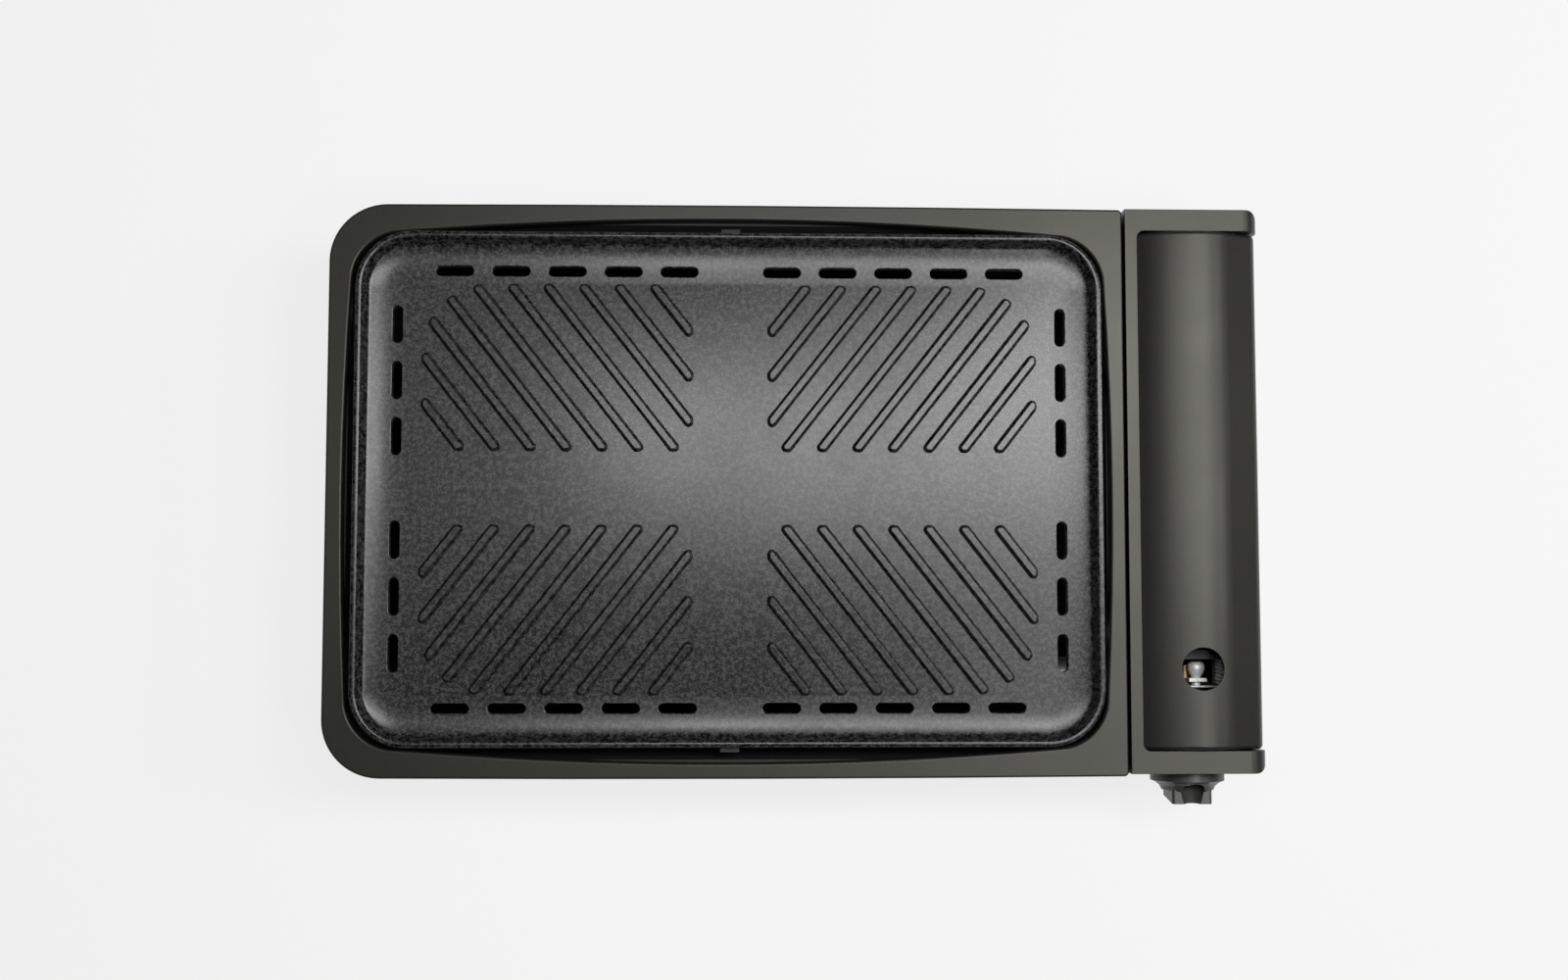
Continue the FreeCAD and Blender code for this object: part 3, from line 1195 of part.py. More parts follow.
# Electrode, its ceramic holder and the igniter's lead
node("electrode", rod("electrode_wire", "x", "electrode_radius",
                      ("opening_x + burner_x + electrode_gap", "partition_face + 1"),
                      ("electrode_line", "electrode_height")))
ceramic = rod("ceramic_tube", "x", "ceramic_radius", ("partition_face - ceramic_inner", "partition_face + 1"),
              ("electrode_line", "electrode_height"))
ceramic_head = box("ceramic_head", ("partition_face", "partition_face + ceramic_block"),
                   ("electrode_line - ceramic_radius", "electrode_line + ceramic_radius"),
                   ("electrode_height - ceramic_radius", "electrode_height + ceramic_radius"))
ceramic_bore = rod("ceramic_bore", "x", "electrode_radius + run_gap",
                   ("partition_face - 2 * ceramic_inner", "partition_face + 1 + run_gap"),
                   ("electrode_line", "electrode_height"))
node("electrode_holder", cut("ceramic", fuse("ceramic_solid", ceramic, ceramic_head), ceramic_bore))

lead_x = dims.partition_face + dims.ceramic_block / 2
lead_y = dims.igniter_front + dims.igniter_length * 0.7
lead_start = Vector(dims.canister_x - dims.igniter_half_width, lead_y, dims.igniter_axis)
shaped("igniter_lead", swept([
    lead_start,
    Vector(lead_x, lead_y, dims.igniter_axis),
    Vector(lead_x, lead_y, dims.electrode_height),
    Vector(lead_x, dims.electrode_line - dims.ceramic_radius, dims.electrode_height),
], dims.lead_bend, dims.lead_radius))

# Gas pipe from the governor to the injector
shaped("gas_pipe", swept([
    Vector(dims.pipe_start_x, dims.pipe_y, dims.pipe_level),
    Vector(dims.pipe_x, dims.pipe_y, dims.pipe_level),
    Vector(dims.pipe_x, dims.mixer_y - dims.injector_radius - dims.run_gap, dims.burner_height),
], dims.pipe_bend, dims.pipe_radius))


def nut(name, axis, start, end, middle):
    """Six-sided nut round the gas pipe."""
    prism = doc.addObject("Part::Prism", name + "_prism")
    prism.Polygon = 6
    bind(prism, "Circumradius", "nut_radius")
    bind(prism, "Height", f"({end}) - ({start})")
    stand(prism, axis, start, middle)
    bore = rod(name + "_bore", axis, "pipe_radius + run_gap", (f"({start}) - 1", f"({end}) + 1"), middle)
    return cut(name, prism, bore)


node("pipe_nuts", group(
    "nuts",
    nut("governor_nut", "x", "pipe_start_x - nut_length", "pipe_start_x", ("pipe_y", "pipe_level")),
    nut("injector_nut", "y", "mixer_y - injector_radius - nut_length - run_gap",
        "mixer_y - injector_radius - run_gap", ("pipe_x", "burner_height")),
))

# Governor with its base, cover and screws
shaft_line = ("canister_x", "knob_height")
governor_span = ("governor_front", "governor_back")
barrel = rod("governor_barrel", "y", "governor_radius", governor_span, shaft_line)
base = box("governor_foot", ("canister_x - governor_base_half", "canister_x + governor_base_half"),
           ("governor_front", "governor_back"), ("governor_base", "knob_height"))
boss_line = ("(governor_front + governor_back) / 2", "knob_height")
boss = rod("governor_boss", "x", "cover_boss_radius", ("canister_x", "canister_x + governor_radius"), boss_line)
stem_bore = rod("governor_stem_bore", "y", "stem_radius + run_gap",
                ("governor_front - 1", "governor_front + 2 * stem_radius"), shaft_line)
trip_bore = rod("governor_trip_bore", "y", "trip_stem_radius + run_gap",
                ("trip_seat - trip_flange - trip_stem - trip_travel - 1", "governor_back + 1"),
                ("trip_x", "trip_z"))
inlet_bore = rod("governor_inlet_bore", "y", "inlet_radius",
                 ("governor_back - inlet_depth", "governor_back + 1"), ("canister_x", "canister_height"))
casting = fuse("governor_solid", barrel, base, boss)
node("governor_body", cut("governor", casting, stem_bore, trip_bore, inlet_bore))
cover = turned("cover_cap", [
    ("0", "0"), ("cover_radius", "0"), ("cover_radius", "cover_thickness / 3"),
    ("cover_radius * 0.62", "cover_thickness / 3"), ("cover_radius * 0.5", "cover_thickness"),
    ("0", "cover_thickness")])
stand(cover, "x", "canister_x + governor_radius", boss_line)
node("governor_cover", cover)
screws = []
for index, (across, up) in enumerate(((1, 1), (1, -1), (-1, 1), (-1, -1))):
    place = (f"{boss_line[0]} + {across} * cover_radius * 0.58", f"knob_height + {up} * cover_radius * 0.58")
    foot = "canister_x + governor_radius + cover_thickness / 3"
    span = (foot, f"{foot} + cover_screw_head")
    screws.append(rod(f"cover_screw_{index}", "x", "cover_screw_radius", span, place))
node("governor_screws", group("cover_screws", *screws))

# Bracket that carries the governor and the magnet plate
bracket_y = ("governor_back", "governor_back + bracket_sheet / 2")
bracket_x = ("canister_x - bracket_half_width", "canister_x + bracket_half_width")
bracket_plate = box("bracket_plate", bracket_x, bracket_y, ("pan_floor", "bracket_top"))
bracket_foot = box("bracket_foot", bracket_x, ("governor_back", "governor_back + bracket_foot_length"),
                   ("pan_floor", "pan_floor + bracket_sheet / 2"))
cheeks = []
for side, low, high in (
    ("left", "canister_x - bracket_half_width", "canister_x - bracket_half_width + bracket_sheet"),
    ("right", "canister_x + bracket_half_width - bracket_sheet", "canister_x + bracket_half_width"),
):
    cheeks.append(box(f"bracket_{side}", (low, high), ("governor_back", "magnet_front"),
                      ("magnet_bottom + 2 * bracket_sheet", "bracket_top")))
bracket_holes = [
    rod("bracket_inlet_hole", "y", "inlet_radius + run_gap",
        ("governor_back - 1", "governor_back + bracket_sheet"), ("canister_x", "canister_height")),
    rod("bracket_trip_hole", "y", "trip_stem_radius + run_gap",
        ("governor_back - 1", "governor_back + bracket_sheet"), ("trip_x", "trip_z")),
]
bracket_solid = fuse("bracket_solid", bracket_plate, bracket_foot, *cheeks)
node("governor_bracket", cut("bracket", bracket_solid, *bracket_holes))

magnet = box("magnet_sheet", bracket_x, ("magnet_front", "magnet_back"), ("magnet_bottom", "magnet_top"))
magnet_hole = rod("magnet_hole", "y", "inlet_radius * 2.5", ("magnet_front - 1", "magnet_back + 1"),
                  ("canister_x", "canister_height + magnet_hole_rise"))
node("canister_flange", cut("magnet_plate_cut", magnet, magnet_hole))
inlet = rod("inlet_tube", "y", "inlet_radius", ("governor_back - inlet_depth", "governor_back + inlet_length"),
            ("canister_x", "canister_height"))
inlet_hole = rod("inlet_hole", "y", "inlet_radius / 2", ("governor_back", "governor_back + 2 * inlet_length"),
                 ("canister_x", "canister_height"))
node("gas_inlet", cut("inlet", inlet, inlet_hole))

# Trip pin that shuts the gas off when the canister's pressure rises
trip_line = ("trip_x", "trip_z")
cap_length = "(trip_cap - trip_flange)"
trip_cap = turned("trip_cap_turned", [
    ("0", "0"), ("trip_radius * 0.45", "0"), ("trip_radius * 0.6", f"{cap_length} * 0.12"),
    ("trip_radius * 0.86", f"{cap_length} * 0.32"), ("trip_radius", f"{cap_length} * 0.55"),
    ("trip_radius * 0.98", f"{cap_length} * 0.78"), ("trip_radius * 0.86", f"{cap_length} * 0.91"),
    ("trip_radius * 0.6", cap_length), ("0", cap_length)])
stand(trip_cap, "y", "trip_seat + trip_flange", trip_line)
trip_parts = [
    rod("trip_stem_rod", "y", "trip_stem_radius", ("trip_seat - trip_flange - trip_stem", "trip_seat"),
        trip_line),
    box("trip_flange_plate", ("trip_x - trip_flange_half", "trip_x + trip_flange_half"),
        ("trip_seat", "trip_seat + trip_flange"),
        ("trip_z - trip_flange_half", "trip_z + trip_flange_half")),
    trip_cap,
]
node("trip_pin", fuse("trip", *trip_parts))
spring_line = ("canister_x + spring_side", "spring_level")
spring_span = ("bracket_back", "magnet_front")
node("return_spring", cut(
    "spring_sleeve",
    rod("spring_outer", "y", "spring_radius", spring_span, spring_line),
    rod("spring_inner", "y", "spring_radius - spring_wire", ("bracket_back - 1", "magnet_front + 1"),
        spring_line)))

# Igniter under the governor
igniter_line = ("canister_x", "igniter_axis")
igniter_back = "igniter_front + igniter_length"
igniter = box("igniter_block", ("canister_x - igniter_half_width", "canister_x + igniter_half_width"),
              ("igniter_front", igniter_back), ("igniter_top - igniter_height", "igniter_top"))
igniter_bore = rod("igniter_bore", "y", "plunger_radius + run_gap",
                   ("igniter_front - 1", "plunger_front + plunger_length + plunger_travel + 1"), igniter_line)
node("igniter_body", cut("igniter", igniter, igniter_bore))
node("igniter_plunger", rod("plunger", "y", "plunger_radius",
                            ("plunger_front", "plunger_front + plunger_length"), igniter_line))

# Knob, stem and bezel, drawn outwards from their back faces along their own Z
TO_FRONT = Rotation(Vector(1, 0, 0), 90)


def make_knob():
    """Flared disc with a square grip, slanting at its face, and a finger scoop above and below."""
    length = dims.knob_proud - dims.bezel_flange - dims.seat_gap
    flare = dims.knob_skirt_radius - dims.knob_grip_radius
    neck_end = dims.knob_skirt + dims.knob_neck
    profile = [
        (0, 0),
        (dims.knob_skirt_radius, 0),
        (dims.knob_skirt_radius, dims.knob_skirt),
        (dims.knob_grip_radius + flare * 0.55, dims.knob_skirt + dims.knob_neck * 0.22),
        (dims.knob_grip_radius + flare * 0.2, dims.knob_skirt + dims.knob_neck * 0.55),
        (dims.knob_grip_radius, neck_end),
        (dims.knob_grip / 2, neck_end + dims.knob_corner),
        (0, neck_end + dims.knob_corner),
        (0, 0),
    ]
    face = Part.Face(Part.makePolygon([Vector(radius, 0, height) for radius, height in profile]))
    disc = face.revolve(Vector(), Vector(0, 0, 1), 360)
    half = dims.knob_grip / 2
    grip = bowed_block((0, 0), dims.knob_grip, dims.knob_grip, (0, 0), (dims.knob_corner, dims.knob_corner),
                       dims.knob_skirt / 2, length)
    slant = Part.Face(Part.makePolygon([
        Vector(-dims.knob_grip, half, length), Vector(-dims.knob_grip, -half, length - dims.knob_slant),
        Vector(-dims.knob_grip, -half - 1, length + 1), Vector(-dims.knob_grip, half, length + 1),
        Vector(-dims.knob_grip, half, length)]))
    grip = grip.cut(slant.extrude(Vector(2 * dims.knob_grip, 0, 0)))
    lean = math.radians(dims.scoop_lean)
    scoops = []
    for side, tip in ((1, length), (-1, length - dims.knob_slant)):
        start = Vector(0, side * (half + dims.scoop_radius * math.cos(lean)),
                       tip - dims.knob_face + dims.scoop_radius * math.sin(lean))
        way = Vector(0, -side * math.sin(lean), -math.cos(lean))
        reach = (start.z - dims.knob_skirt) / math.cos(lean)
        scoop = Part.makeCylinder(dims.scoop_radius, 2 * reach, start - way * reach, way)
        limit = Part.makeBox(2 * dims.knob_grip, 4 * dims.knob_grip, 4 * length,
                             Vector(-dims.knob_grip, -2 * dims.knob_grip, dims.knob_skirt))
        scoops.append(scoop.common(limit))
    knob = disc.fuse(grip).cut(scoops)
    knob.rotate(Vector(), Vector(1, 0, 0), 90)
    knob.translate(Vector(dims.canister_x, dims.front_wall - dims.bezel_flange - dims.seat_gap,
                          dims.knob_height))
    bore = Part.makeCylinder(dims.stem_radius + dims.run_gap, dims.knob_proud,
                             Vector(dims.canister_x, dims.knob_face_y + dims.stem_nose - dims.run_gap,
                                    dims.knob_height), Vector(0, 1, 0))
    return knob.cut(bore).removeSplitter()


def face_front(thing, foot):
    """Point a turned body at the user, with its foot at a place along Y."""
    thing.Placement = Placement(Vector(), TO_FRONT)
    bind(thing, "Placement.Base.x", "canister_x")
    bind(thing, "Placement.Base.y", foot)
    bind(thing, "Placement.Base.z", "knob_height")
    return thing


shaped("knob", make_knob())
stem_length = "(governor_front + 2 * stem_radius - seat_gap - knob_face_y - stem_nose)"
stem_foot = "governor_front + 2 * stem_radius - seat_gap"
cam_at = f"({stem_foot} - cam_back)"
stem = turned("stem_turned", [
    ("0", "0"), ("stem_radius", "0"), ("stem_radius", cam_at), ("cam_radius", cam_at),
    ("cam_radius", f"{cam_at} + cam_thickness"), ("stem_radius", f"{cam_at} + cam_thickness"),
    ("stem_radius", stem_length), ("0", stem_length)])
node("valve_stem", face_front(stem, stem_foot))
bezel = turned("bezel_turned", [
    ("stem_radius + bezel_hole_gap", "0"), ("bezel_spigot_radius", "0"),
    ("bezel_spigot_radius", "bezel_spigot"),
    ("bezel_radius", "bezel_spigot"), ("bezel_radius", "bezel_spigot + bezel_flange"),
    ("stem_radius + bezel_hole_gap", "bezel_spigot + bezel_flange")])
node("knob_bezel", face_front(bezel, "front_wall + bezel_spigot"))

# Canister cradle: a trough on two legs
cradle_span = ("canister_y + cradle_start", "canister_y + cradle_start + cradle_length")
canister_line = ("canister_x", "canister_height")
trough = cut(
    "trough",
    rod("trough_outer", "y", "canister_radius + seat_gap + thin_sheet", cradle_span, canister_line),
    rod("trough_inner", "y", "canister_radius + seat_gap", ("canister_y", f"{cradle_span[1]} + 1"),
        canister_line))
trough_bound = box("trough_bound", ("canister_x - cradle_half_width", "canister_x + cradle_half_width"),
                   cradle_span, ("pan_floor", "canister_height - canister_radius / 3"))
trough_low = doc.addObject("Part::MultiCommon", "trough_low")
trough_low.Shapes = [trough, trough_bound]
legs = []
for index in (1, 4):
    start = f"canister_y + cradle_start + {index} * cradle_length / 5"
    leg = box(f"cradle_leg_{index}",
              ("canister_x - cradle_half_width * 0.8", "canister_x + cradle_half_width * 0.8"),
              (start, f"{start} + bracket_sheet"), ("pan_floor", "canister_height - canister_radius * 0.7"))
    bore = rod(f"cradle_leg_bore_{index}", "y", "canister_radius + seat_gap + thin_sheet / 2",
               ("canister_y", f"{cradle_span[1]} + 1"), canister_line)
    legs.append(cut(f"cradle_foot_{index}", leg, bore))
node("canister_cradle", fuse("cradle", trough_low, *legs))

# Lid hinge brackets and pins
hinge_plates = []
pins = []
for side, end, way in (("front", "lid_front", "+"), ("back", "lid_back", "-")):
    outer_face = f"({end} {way} (hinge_notch - seat_gap - hinge_plate))"
    inner_face = f"({end} {way} (hinge_notch - seat_gap))"
    span = (outer_face, inner_face) if way == "+" else (inner_face, outer_face)
    wall_face = "pan_right - sheet_thickness"
    plate = box(f"hinge_{side}_plate", (f"{wall_face} - hinge_plate_width", wall_face), span,
                ("hinge_plate_bottom", "hinge_height + 2.5 * hinge_pin_radius"))
    foot_span = (outer_face, f"{outer_face} + hinge_foot")
    if way == "+":
        foot_span = (f"{outer_face} - hinge_foot", outer_face)
    foot = box(f"hinge_{side}_foot", (f"{wall_face} - hinge_plate", wall_face), foot_span,
               ("hinge_plate_bottom", "pan_side_top - 1"))
    hole = rod(f"hinge_{side}_hole", "y", "hinge_pin_radius + run_gap", (f"{span[0]} - 1", f"{span[1]} + 1"),
               ("hinge_x", "hinge_height"))
    hinge_plates.append(cut(f"hinge_bracket_{side}", fuse(f"hinge_{side}_angle", plate, foot), hole))
    reach = f"({end} {way} (hinge_notch + sheet_thickness + seat_gap))"
    shank = (outer_face, reach) if way == "+" else (reach, outer_face)
    head = (f"{outer_face} - 1", outer_face) if way == "+" else (outer_face, f"{outer_face} + 1")
    pins.append(fuse(
        f"hinge_pin_{side}",
        rod(f"pin_{side}_shank", "y", "hinge_pin_radius", shank, ("hinge_x", "hinge_height")),
        rod(f"pin_{side}_head", "y", "1.6 * hinge_pin_radius", head, ("hinge_x", "hinge_height"))))
node("hinge_brackets", group("hinge_plates", *hinge_plates))
node("lid_hinge_pins", group("hinge_pins", *pins))

# Spring catch under the flange strip; it is drawn from its own left end and underside
under_strip = "side_top_height - sheet_thickness"
catch_drop = "(side_hem + catch_sheet)"
leaf_right = "(lid_strip_width - 2 * sheet_thickness)"
catch = padded("catch_leaf", [
    ("0", f"{catch_drop} - catch_sheet"), (f"{leaf_right} - catch_sheet", f"{catch_drop} - catch_sheet"),
    (f"{leaf_right} - catch_sheet", "0"), (f"{leaf_right} + catch_tongue", "0"),
    (f"{leaf_right} + catch_tongue", "catch_sheet"), (leaf_right, "catch_sheet"), (leaf_right, catch_drop),
    ("0", catch_drop)], "catch_width")
bind(catch, "Placement.Base.x", "side_left + sheet_thickness")
bind(catch, "Placement.Base.y", "side_y")
bind(catch, "Placement.Base.z", f"{under_strip} - {catch_drop}")
node("lid_catch", catch)

# Plate rests under the basin's short sides, and locating tabs under the rim's long sides
lean_x = "liner_lean_x / (liner_top - liner_bottom)"
lean_y = "liner_lean_y / (liner_top - liner_bottom)"


def rest(name, side, along, top, low, sign):
    """Bent strip from the liner's wall to the plate; the side is the axis, wall, lean and finger's end."""
    axis, middle, half_liner, lean, inner = side
    outer = f"({half_liner} - thin_sheet - fit_gap - (liner_top - {low}) * {lean} - rest_sheet * {lean})"
    if sign == "+":
        leg_span = (f"{middle} + {outer} - rest_sheet", f"{middle} + {outer}")
        finger_span = (inner, leg_span[1])
    else:
        leg_span = (f"{middle} - {outer}", f"{middle} - {outer} + rest_sheet")
        finger_span = (leg_span[0], inner)
    spans = [(leg_span, along), (finger_span, along)]
    if axis == "y":
        spans = [(b, a) for a, b in spans]
    leg = box(name + "_leg", spans[0][0], spans[0][1], (low, top))
    finger = box(name + "_finger", spans[1][0], spans[1][1], (f"{top} - rest_sheet", top))
    return fuse(name, leg, finger)


rests = []
rest_top = "plate_under - seat_gap"
for side, sign in (("left", "-"), ("right", "+")):
    finger_end = f"plate_x {sign} (plate_length / 2 - basin_inset - rest_finger)"
    for place, way in (("front", "-"), ("back", "+")):
        rest_y = f"mid_y {way} rest_spread"
        rests.append(rest(f"rest_{side}_{place}", ("x", "opening_x", "liner_x", lean_x, finger_end),
                          (f"{rest_y} - rest_width / 2", f"{rest_y} + rest_width / 2"),
                          rest_top, f"({rest_top} - rest_leg)", sign))
node("plate_rests", group("rests", *rests))
tabs = []
tab_top = "rim_under - seat_gap"
for place, sign in (("front", "-"), ("back", "+")):
    finger_end = f"mid_y {sign} (plate_depth / 2 - basin_inset + fit_gap)"
    tabs.append(rest(f"tab_{place}", ("y", "mid_y", "liner_y", lean_y, finger_end),
                     ("plate_x - tab_width / 2", "plate_x + tab_width / 2"),
                     tab_top, f"({tab_top} - tab_leg)", sign))
node("locating_tabs", group("tabs", *tabs))

# Drip tray drawer with its front plate and rails
tray_x = ("tray_left", "tray_right")
tray_y = ("mid_y - tray_half", "mid_y + tray_half")
tray_solid = box("tray_solid", tray_x, tray_y, ("tray_bottom", "tray_top"))
tray_hollow = box("tray_hollow", ("tray_left + thin_sheet", "tray_right - thin_sheet"),
                  ("mid_y - tray_half + thin_sheet", "mid_y + tray_half - thin_sheet"),
                  ("tray_bottom + thin_sheet", "tray_top + 1"))
node("drip_tray", cut("tray", tray_solid, tray_hollow))
front_plate = box("tray_front_plate", ("pan_left", "tray_left"),
                  ("mid_y - tray_half - tray_front_reach", "mid_y + tray_half + tray_front_reach"),
                  ("tray_bottom - tray_front_reach + seat_gap", "tray_front_top"))
finger_notch = box("finger_notch", ("pan_left - 1", "tray_left + 1"),
                   ("mid_y - finger_notch_length / 2", "mid_y + finger_notch_length / 2"),
                   ("notch_level", "tray_front_top + 1"))
node("tray_front", cut("tray_front_sheet", front_plate, finger_notch))
tray_rails = []
for side, sign in (("front", "-"), ("back", "+")):
    edge = f"mid_y {sign} (tray_half + seat_gap)"
    flat = (edge, f"{edge} + rail_width") if sign == "-" else (f"{edge} - rail_width", edge)
    guide = (f"{edge} - rail_guide", edge) if sign == "-" else (edge, f"{edge} + rail_guide")
    span = ("pan_left + pan_left_radius", "tray_right")
    tray_rails.append(fuse(
        f"rail_{side}_tray",
        box(f"rail_{side}_flat", span, flat, ("pan_floor", "rail_top")),
        box(f"rail_{side}_guide", span, guide, ("pan_floor", "pan_floor + rail_height"))))
node("tray_rails", group("tray_rail_pair", *tray_rails))

# Feet and their screws
feet = []
foot_screws = []
for side_x, x in (("left", "foot_left"), ("right", "foot_right")):
    for side_y, sign in (("front", "-"), ("back", "+")):
        name = f"foot_{side_x}_{side_y}"
        at = (x, f"mid_y {sign} foot_y")
        rubber = cone(name + "_rubber", "z", ("foot_radius - foot_taper", "foot_radius"),
                      ("0", "foot_height"), at)
        recess = rod(name + "_recess", "z", "screw_head_radius + seat_gap",
                     ("-1", "foot_height / 2 - screw_head / 2"), at)
        hole = rod(name + "_hole", "z", "screw_radius + run_gap", ("0", "foot_height + 1"), at)
        feet.append(cut(name, rubber, recess, hole))
        head_top = "foot_height / 2 - screw_head / 2"
        head = rod(name + "_screw_head", "z", "screw_head_radius", (f"{head_top} - screw_head", head_top), at)
        shank = rod(name + "_screw_shank", "z", "screw_radius", (head_top, "pan_floor + screw_reach"), at)
        foot_screws.append(fuse(name + "_screw", head, shank))
node("rubber_feet", group("feet", *feet))
node("foot_screws", group("foot_screw_set", *foot_screws))

# Spring clips over the pan's wall, which hold the casing's skirt
clips = []
clip_gap = "(casing_depth / 2 - casing_bow - sheet_thickness - pan_half)"
for side, sign in (("front", "-"), ("back", "+")):
    for index in (-1, 0, 1):
        name = f"clip_{side}_{index + 2}"
        middle = f"casing_x + {index} * clip_spread"
        span = (f"{middle} - clip_width / 2", f"{middle} + clip_width / 2")
        inside = "(pan_half - sheet_thickness - clip_sheet)"
        outside = f"(pan_half + {clip_gap} - fit_gap)"
        if sign == "+":
            whole = (f"mid_y + {inside}", f"mid_y + {outside}")
            wall_slot = ("mid_y + pan_half - sheet_thickness", "mid_y + pan_half")
        else:
            whole = (f"mid_y - {outside}", f"mid_y - {inside}")
            wall_slot = ("mid_y - pan_half", "mid_y - pan_half + sheet_thickness")
        body = box(name + "_body", span, whole, ("pan_wall_top - clip_depth", "pan_wall_top + clip_sheet"))
        slot = box(name + "_slot", (f"{span[0]} - 1", f"{span[1]} + 1"), wall_slot,
                   ("pan_wall_top - clip_depth - 1", "pan_wall_top"))
        clips.append(cut(name, body, slot))
node("casing_clips", group("clips", *clips))

doc.recompute()

# Nothing is written unless every object is sound
for thing in doc.Objects:
    if "Invalid" in thing.State or "Error" in thing.State:
        raise RuntimeError(f"{thing.Name}: {thing.State}")
for name, thing in nodes.items():
    if thing.Shape.isNull() or not thing.Shape.isValid() or not thing.Shape.Solids:
        raise RuntimeError(f"{name}: shape is not a valid solid")

os.makedirs("parts", exist_ok=True)
for name, thing in nodes.items():
    thing.Shape.exportStep(os.path.join("parts", name + ".step"))
    print(name, len(thing.Shape.Solids), round(thing.Shape.Volume))
print(len(nodes), "nodes")
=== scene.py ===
"""Looks of a portable gas grill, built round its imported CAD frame."""

import json
import logging
import math
from dataclasses import dataclass
from enum import Enum
from typing import Iterable, Optional, Sequence

import bmesh
import bpy
import numpy as np
from mathutils import Euler, Matrix, Vector


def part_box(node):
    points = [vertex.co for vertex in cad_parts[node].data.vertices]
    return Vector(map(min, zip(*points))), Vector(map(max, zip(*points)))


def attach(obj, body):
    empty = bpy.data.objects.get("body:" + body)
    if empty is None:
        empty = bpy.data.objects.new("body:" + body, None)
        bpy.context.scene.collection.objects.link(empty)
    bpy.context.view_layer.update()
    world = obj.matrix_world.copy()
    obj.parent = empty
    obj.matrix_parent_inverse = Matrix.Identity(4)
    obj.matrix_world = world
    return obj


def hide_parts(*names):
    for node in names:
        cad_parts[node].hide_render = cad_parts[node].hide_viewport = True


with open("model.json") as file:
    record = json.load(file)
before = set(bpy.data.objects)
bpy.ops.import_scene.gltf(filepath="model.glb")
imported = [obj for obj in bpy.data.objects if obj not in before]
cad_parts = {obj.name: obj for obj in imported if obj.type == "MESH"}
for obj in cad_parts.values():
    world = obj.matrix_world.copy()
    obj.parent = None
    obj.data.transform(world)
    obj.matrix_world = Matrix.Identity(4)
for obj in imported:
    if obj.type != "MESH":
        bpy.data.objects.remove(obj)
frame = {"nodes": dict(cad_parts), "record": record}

log = logging.getLogger("grill")

MM = 0.001
MICRON = 1e-6
Colour = tuple[float, float, float]
Point = tuple[float, float, float]
Pair = tuple[float, float]
Outline = list[Pair]
Rows = tuple[Pair, ...]


class Operation(Enum):
    """What a Math node does with its values."""

    ADD = "ADD"
    SUBTRACT = "SUBTRACT"
    MULTIPLY = "MULTIPLY"
    MAXIMUM = "MAXIMUM"


def grey(level: float, warmth: float = 0.0) -> Colour:
    """Return a grey, with a little more red than blue when warmth is above 0."""
    return (level * (1 + warmth), level, level * (1 - warmth))


class Shader:
    """A node tree that is filled by short calls."""

    def __init__(self, tree: bpy.types.NodeTree) -> None:
        """Keep the tree that the calls fill."""
        self.tree = tree

    def add(self, kind: str, settings: Optional[dict] = None, **inputs: object) -> bpy.types.Node:
        """Add a node.

        Args:
            kind: the node's type name without "ShaderNode".
            settings: plain properties of the node.
            inputs: socket names, with spaces as underscores, and what feeds each.

        Returns:
            The new node.
        """
        node = self.tree.nodes.new("ShaderNode" + kind)
        for name, value in (settings or {}).items():
            setattr(node, name, value)
        for name, value in inputs.items():
            self.feed(node.inputs[name.replace("_", " ")], value)
        return node

    def feed(self, socket: bpy.types.NodeSocket, value: object) -> None:
        """Link an output to a socket, or set the socket's own value.

        Args:
            socket: the input to feed.
            value: an output, a colour or a plain value.
        """
        if isinstance(value, bpy.types.NodeSocket):
            self.tree.links.new(value, socket)
        elif isinstance(value, tuple) and len(value) == 3 and socket.type == "RGBA":
            socket.default_value = (*value, 1.0)
        else:
            socket.default_value = value

    def maths(self, operation: Operation, *values: object, clamp: bool = False) -> bpy.types.NodeSocket:
        """Add a Math node.

        Args:
            operation: what the node does.
            values: the outputs or numbers that it takes.
            clamp: hold the result between 0 and 1.

        Returns:
            The node's output.
        """
        node = self.tree.nodes.new("ShaderNodeMath")
        node.operation = operation.value
        node.use_clamp = clamp
        for socket, value in zip(node.inputs, values):
            self.feed(socket, value)
        return node.outputs[0]

    def mix(self, factor: object, first: object, second: object) -> bpy.types.NodeSocket:
        """Blend two colours.

        Args:
            factor: share of the second colour.
            first: colour where the factor is 0.
            second: colour where the factor is 1.

        Returns:
            The blend.
        """
        node = self.tree.nodes.new("ShaderNodeMix")
        node.data_type = "RGBA"
        self.feed(node.inputs["Factor"], factor)
        self.feed(node.inputs[6], first)
        self.feed(node.inputs[7], second)
        return node.outputs[2]

    def span(self, value: object, band: Pair) -> bpy.types.NodeSocket:
        """Map a value smoothly from a band to 0 and 1.

        Args:
            value: the value to map.
            band: the values that give 0 and 1.

        Returns:
            The mapped value.
        """
        node = self.add("MapRange", {"interpolation_type": "SMOOTHSTEP"}, Value=value)
        node.inputs["From Min"].default_value, node.inputs["From Max"].default_value = band
        return node.outputs[0]

    def place(self) -> bpy.types.NodeSocket:
        """Return the place on the object, in metres."""
        return self.add("TexCoord").outputs["Object"]


